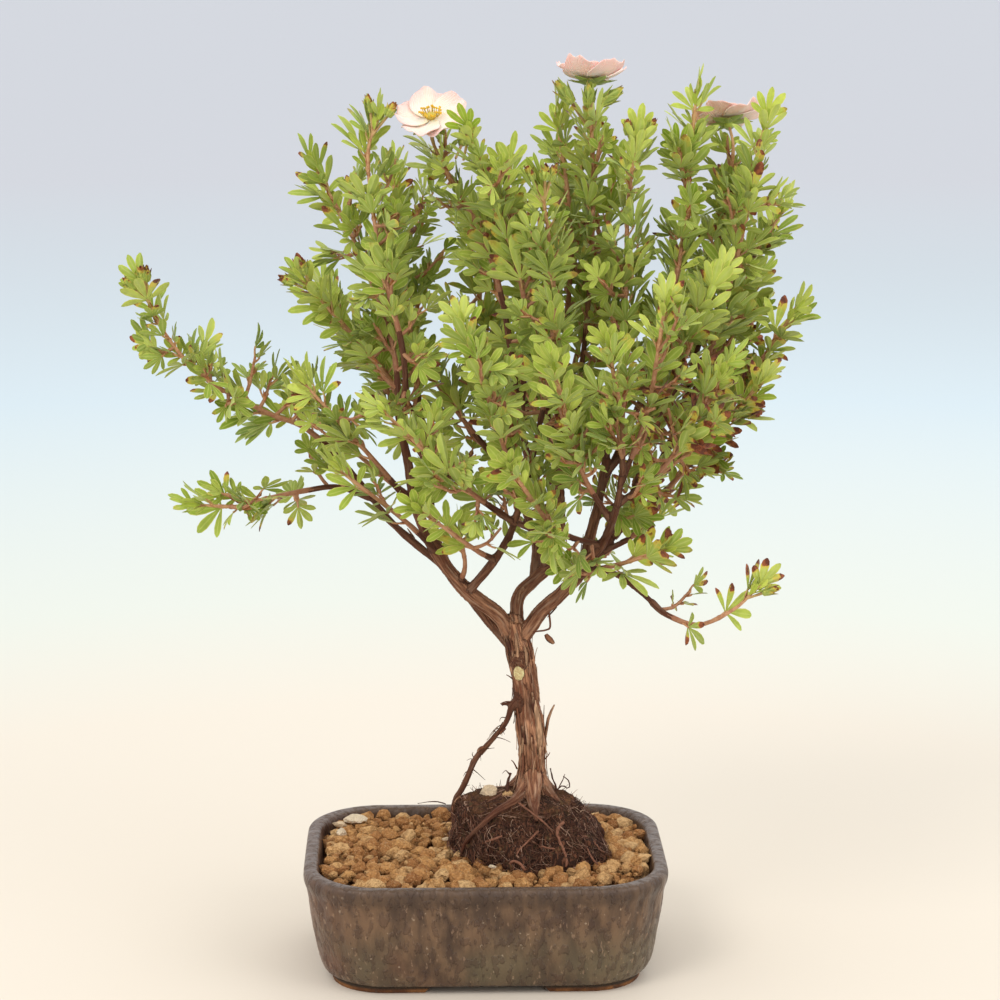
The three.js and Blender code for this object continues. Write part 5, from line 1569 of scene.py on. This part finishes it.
def lay_bud(heap, foot, middle, tip, half, brown=0.05):
    """A round bud on its stalk, closed in by four broad sepals and four narrow bracts."""
    foot, middle, tip = (np.array(spot, float) for spot in (foot, middle, tip))
    lay_tube(heap, [foot, foot * 0.5 + middle * 0.5, middle], [0.45, 0.45, 0.55], 6, (0.6, 0, 0), 1)
    upward = normalised(tip - middle)
    side, other = square_to(upward, FIRST_SIDE)
    core = half * 0.82
    shape = [middle + (side * p[0] + other * p[1]) * core + upward * (p[2] * core * 1.3 + half)
             for p in heart_points]
    heap_up(heap, np.array(shape), heart_faces, look=(0.3, 0, 0.4))
    for k in range(8):
        out = swung(side, other, math.radians(45 * k + 10))
        tilt, share, width = (0.16, 1.0, 1.1) if k % 2 else (0.34, 0.8, 0.65)
        reach = np.linalg.norm(tip - middle) * share * rng.uniform(0.9, 1.05)
        bend = rng.uniform(0.1, 0.22) if k % 2 else 0.05
        lay_leaflet(heap, middle + out * half * 0.55, swung(upward, out, tilt), np.cross(upward, out),
                    reach, half * width, bend, 0.45,
                    (0.1, rng.uniform(0.4, 1.6) * brown, rng.uniform(0, 0.3)), scale_model)


rng = np.random.RandomState(BLOOM_SEED)
for name, (centre, facing, cup) in blooms.items():
    first, second = square_to(facing, np.array([1, 0.2, 0]))
    corolla = new_heap()
    for k in range(5):
        turn = math.radians(72 * k + 12)
        reach = PETAL["reach"] * rng.uniform(0.96, 1.0)
        ruffle = rng.uniform(0, 6)
        shape = []
        for u, v, w in petal_points:
            a, b = u * reach, v * PETAL["half_width"]
            wave = 1.2 * math.sin(v * 4 + ruffle) * u * u + 0.8 * math.sin(v * 8 + ruffle * 2) * u ** 3
            hollow = -1.1 * (1 - v * v) * math.sin(math.pi * min(1, u))
            height = (cup * a * a / PETAL["reach"] + 0.12 * b + 0.25 + wave + hollow
                      + w * PETAL["thick"] / PETAL["blank"])
            x = a * math.cos(turn) - b * math.sin(turn)
            y = a * math.sin(turn) + b * math.cos(turn)
            shape.append(centre + first * x + second * y + facing * height)
        heap_up(corolla, np.array(shape), petal_faces, 0, petal_points)
    corolla = settled(corolla, name + "_corolla", [petal_skin])
    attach(corolla, "root")
    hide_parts(name + "_petals")

    tuft = new_heap()
    shape = []
    for point in heart_points:
        p = point * (1 + 0.12 * noise.noise(Vector(point * 6)))
        shape.append(centre + first * p[0] * HEART_RADIUS + second * p[1] * HEART_RADIUS
                     + facing * (0.9 + p[2] * 1.1))
    heap_up(tuft, np.array(shape), heart_faces)
    for k in range(STAMENS):
        out = swung(first, second, 2.4 * k + rng.uniform(-0.15, 0.15))
        lean = math.radians(rng.uniform(8, 40))
        foot = centre + out * (1.7 + 0.5 * (k % 3) / 2) + facing * 0.7
        top = foot + swung(facing, out, lean) * rng.uniform(2.0, 3.0)
        lay_tube(tuft, [foot, (foot + top) / 2 + out * 0.15, top], [0.14, 0.12, 0.11], 4, (0.1, 0, 0))
        shape = anther_points * (0.42, 0.42, 0.6) @ turned(rng).T + top
        heap_up(tuft, shape, anther_faces, look=(rng.uniform(0.7, 1), 0, 0))
    tuft = settled(tuft, name + "_tuft", [anther_skin])
    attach(tuft, "root")
    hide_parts(name + "_stamens")

    calyx = new_heap()
    for k in range(10):
        out = swung(first, second, math.radians(36 * k))
        below, length, half, brown = (2.6, 6.8, 1.5, 0.07) if k % 2 else (2.2, 8.2, 2.7, 0.03)
        lay_leaflet(calyx, centre - facing * below + out * 0.8, out, np.cross(facing, out), length,
                    half, cup * 0.5 + rng.uniform(-0.07, 0.0), 0.25, (0.1, brown, 0.1), scale_model)
    shape = [centre + first * p[0] * HEART_RADIUS + second * p[1] * HEART_RADIUS
             + facing * (p[2] * 1.6 - 2.3) for p in heart_points]
    heap_up(calyx, np.array(shape), heart_faces, look=(0.3, 0, 0.3))
    for bud in BUDS.get(name, []):
        lay_bud(calyx, *bud)
    calyx = settled(calyx, name + "_calyx", [leaf_green, stem_skin])
    smooth(calyx, 50)
    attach(calyx, "root")


# Spent buds: dry calyxes with brown edges, two to four of them left in a cluster at the tips of
# the shoots that have already flowered. They are modelled as the buds are.
FLOWERED = {"far_left": 4, "left_1": 3, "left_3": 3, "centre_2": 4, "right_1": 3, "low_right_2": 2}

spent = new_heap()
for shoot in shoots:
    tip, direction = along(shoot["course"], shoot["length"] - 0.5)
    first, second = square_to(direction, FIRST_SIDE)
    for k in range(FLOWERED.get(shoot["name"], 0)):
        out = swung(first, second, 1.9 * k + 0.8)
        middle = tip + direction * rng.uniform(1.0, 4.0) + out * rng.uniform(2.2, 3.4)
        end = middle + direction * 5.5 + out * rng.uniform(1.0, 3.0)
        lay_bud(spent, tip - direction * 4, middle, end, rng.uniform(1.5, 2.0), 0.18)
spent = settled(spent, "spent_buds", [leaf_green, stem_skin])
smooth(spent, 50)
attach(spent, "root")
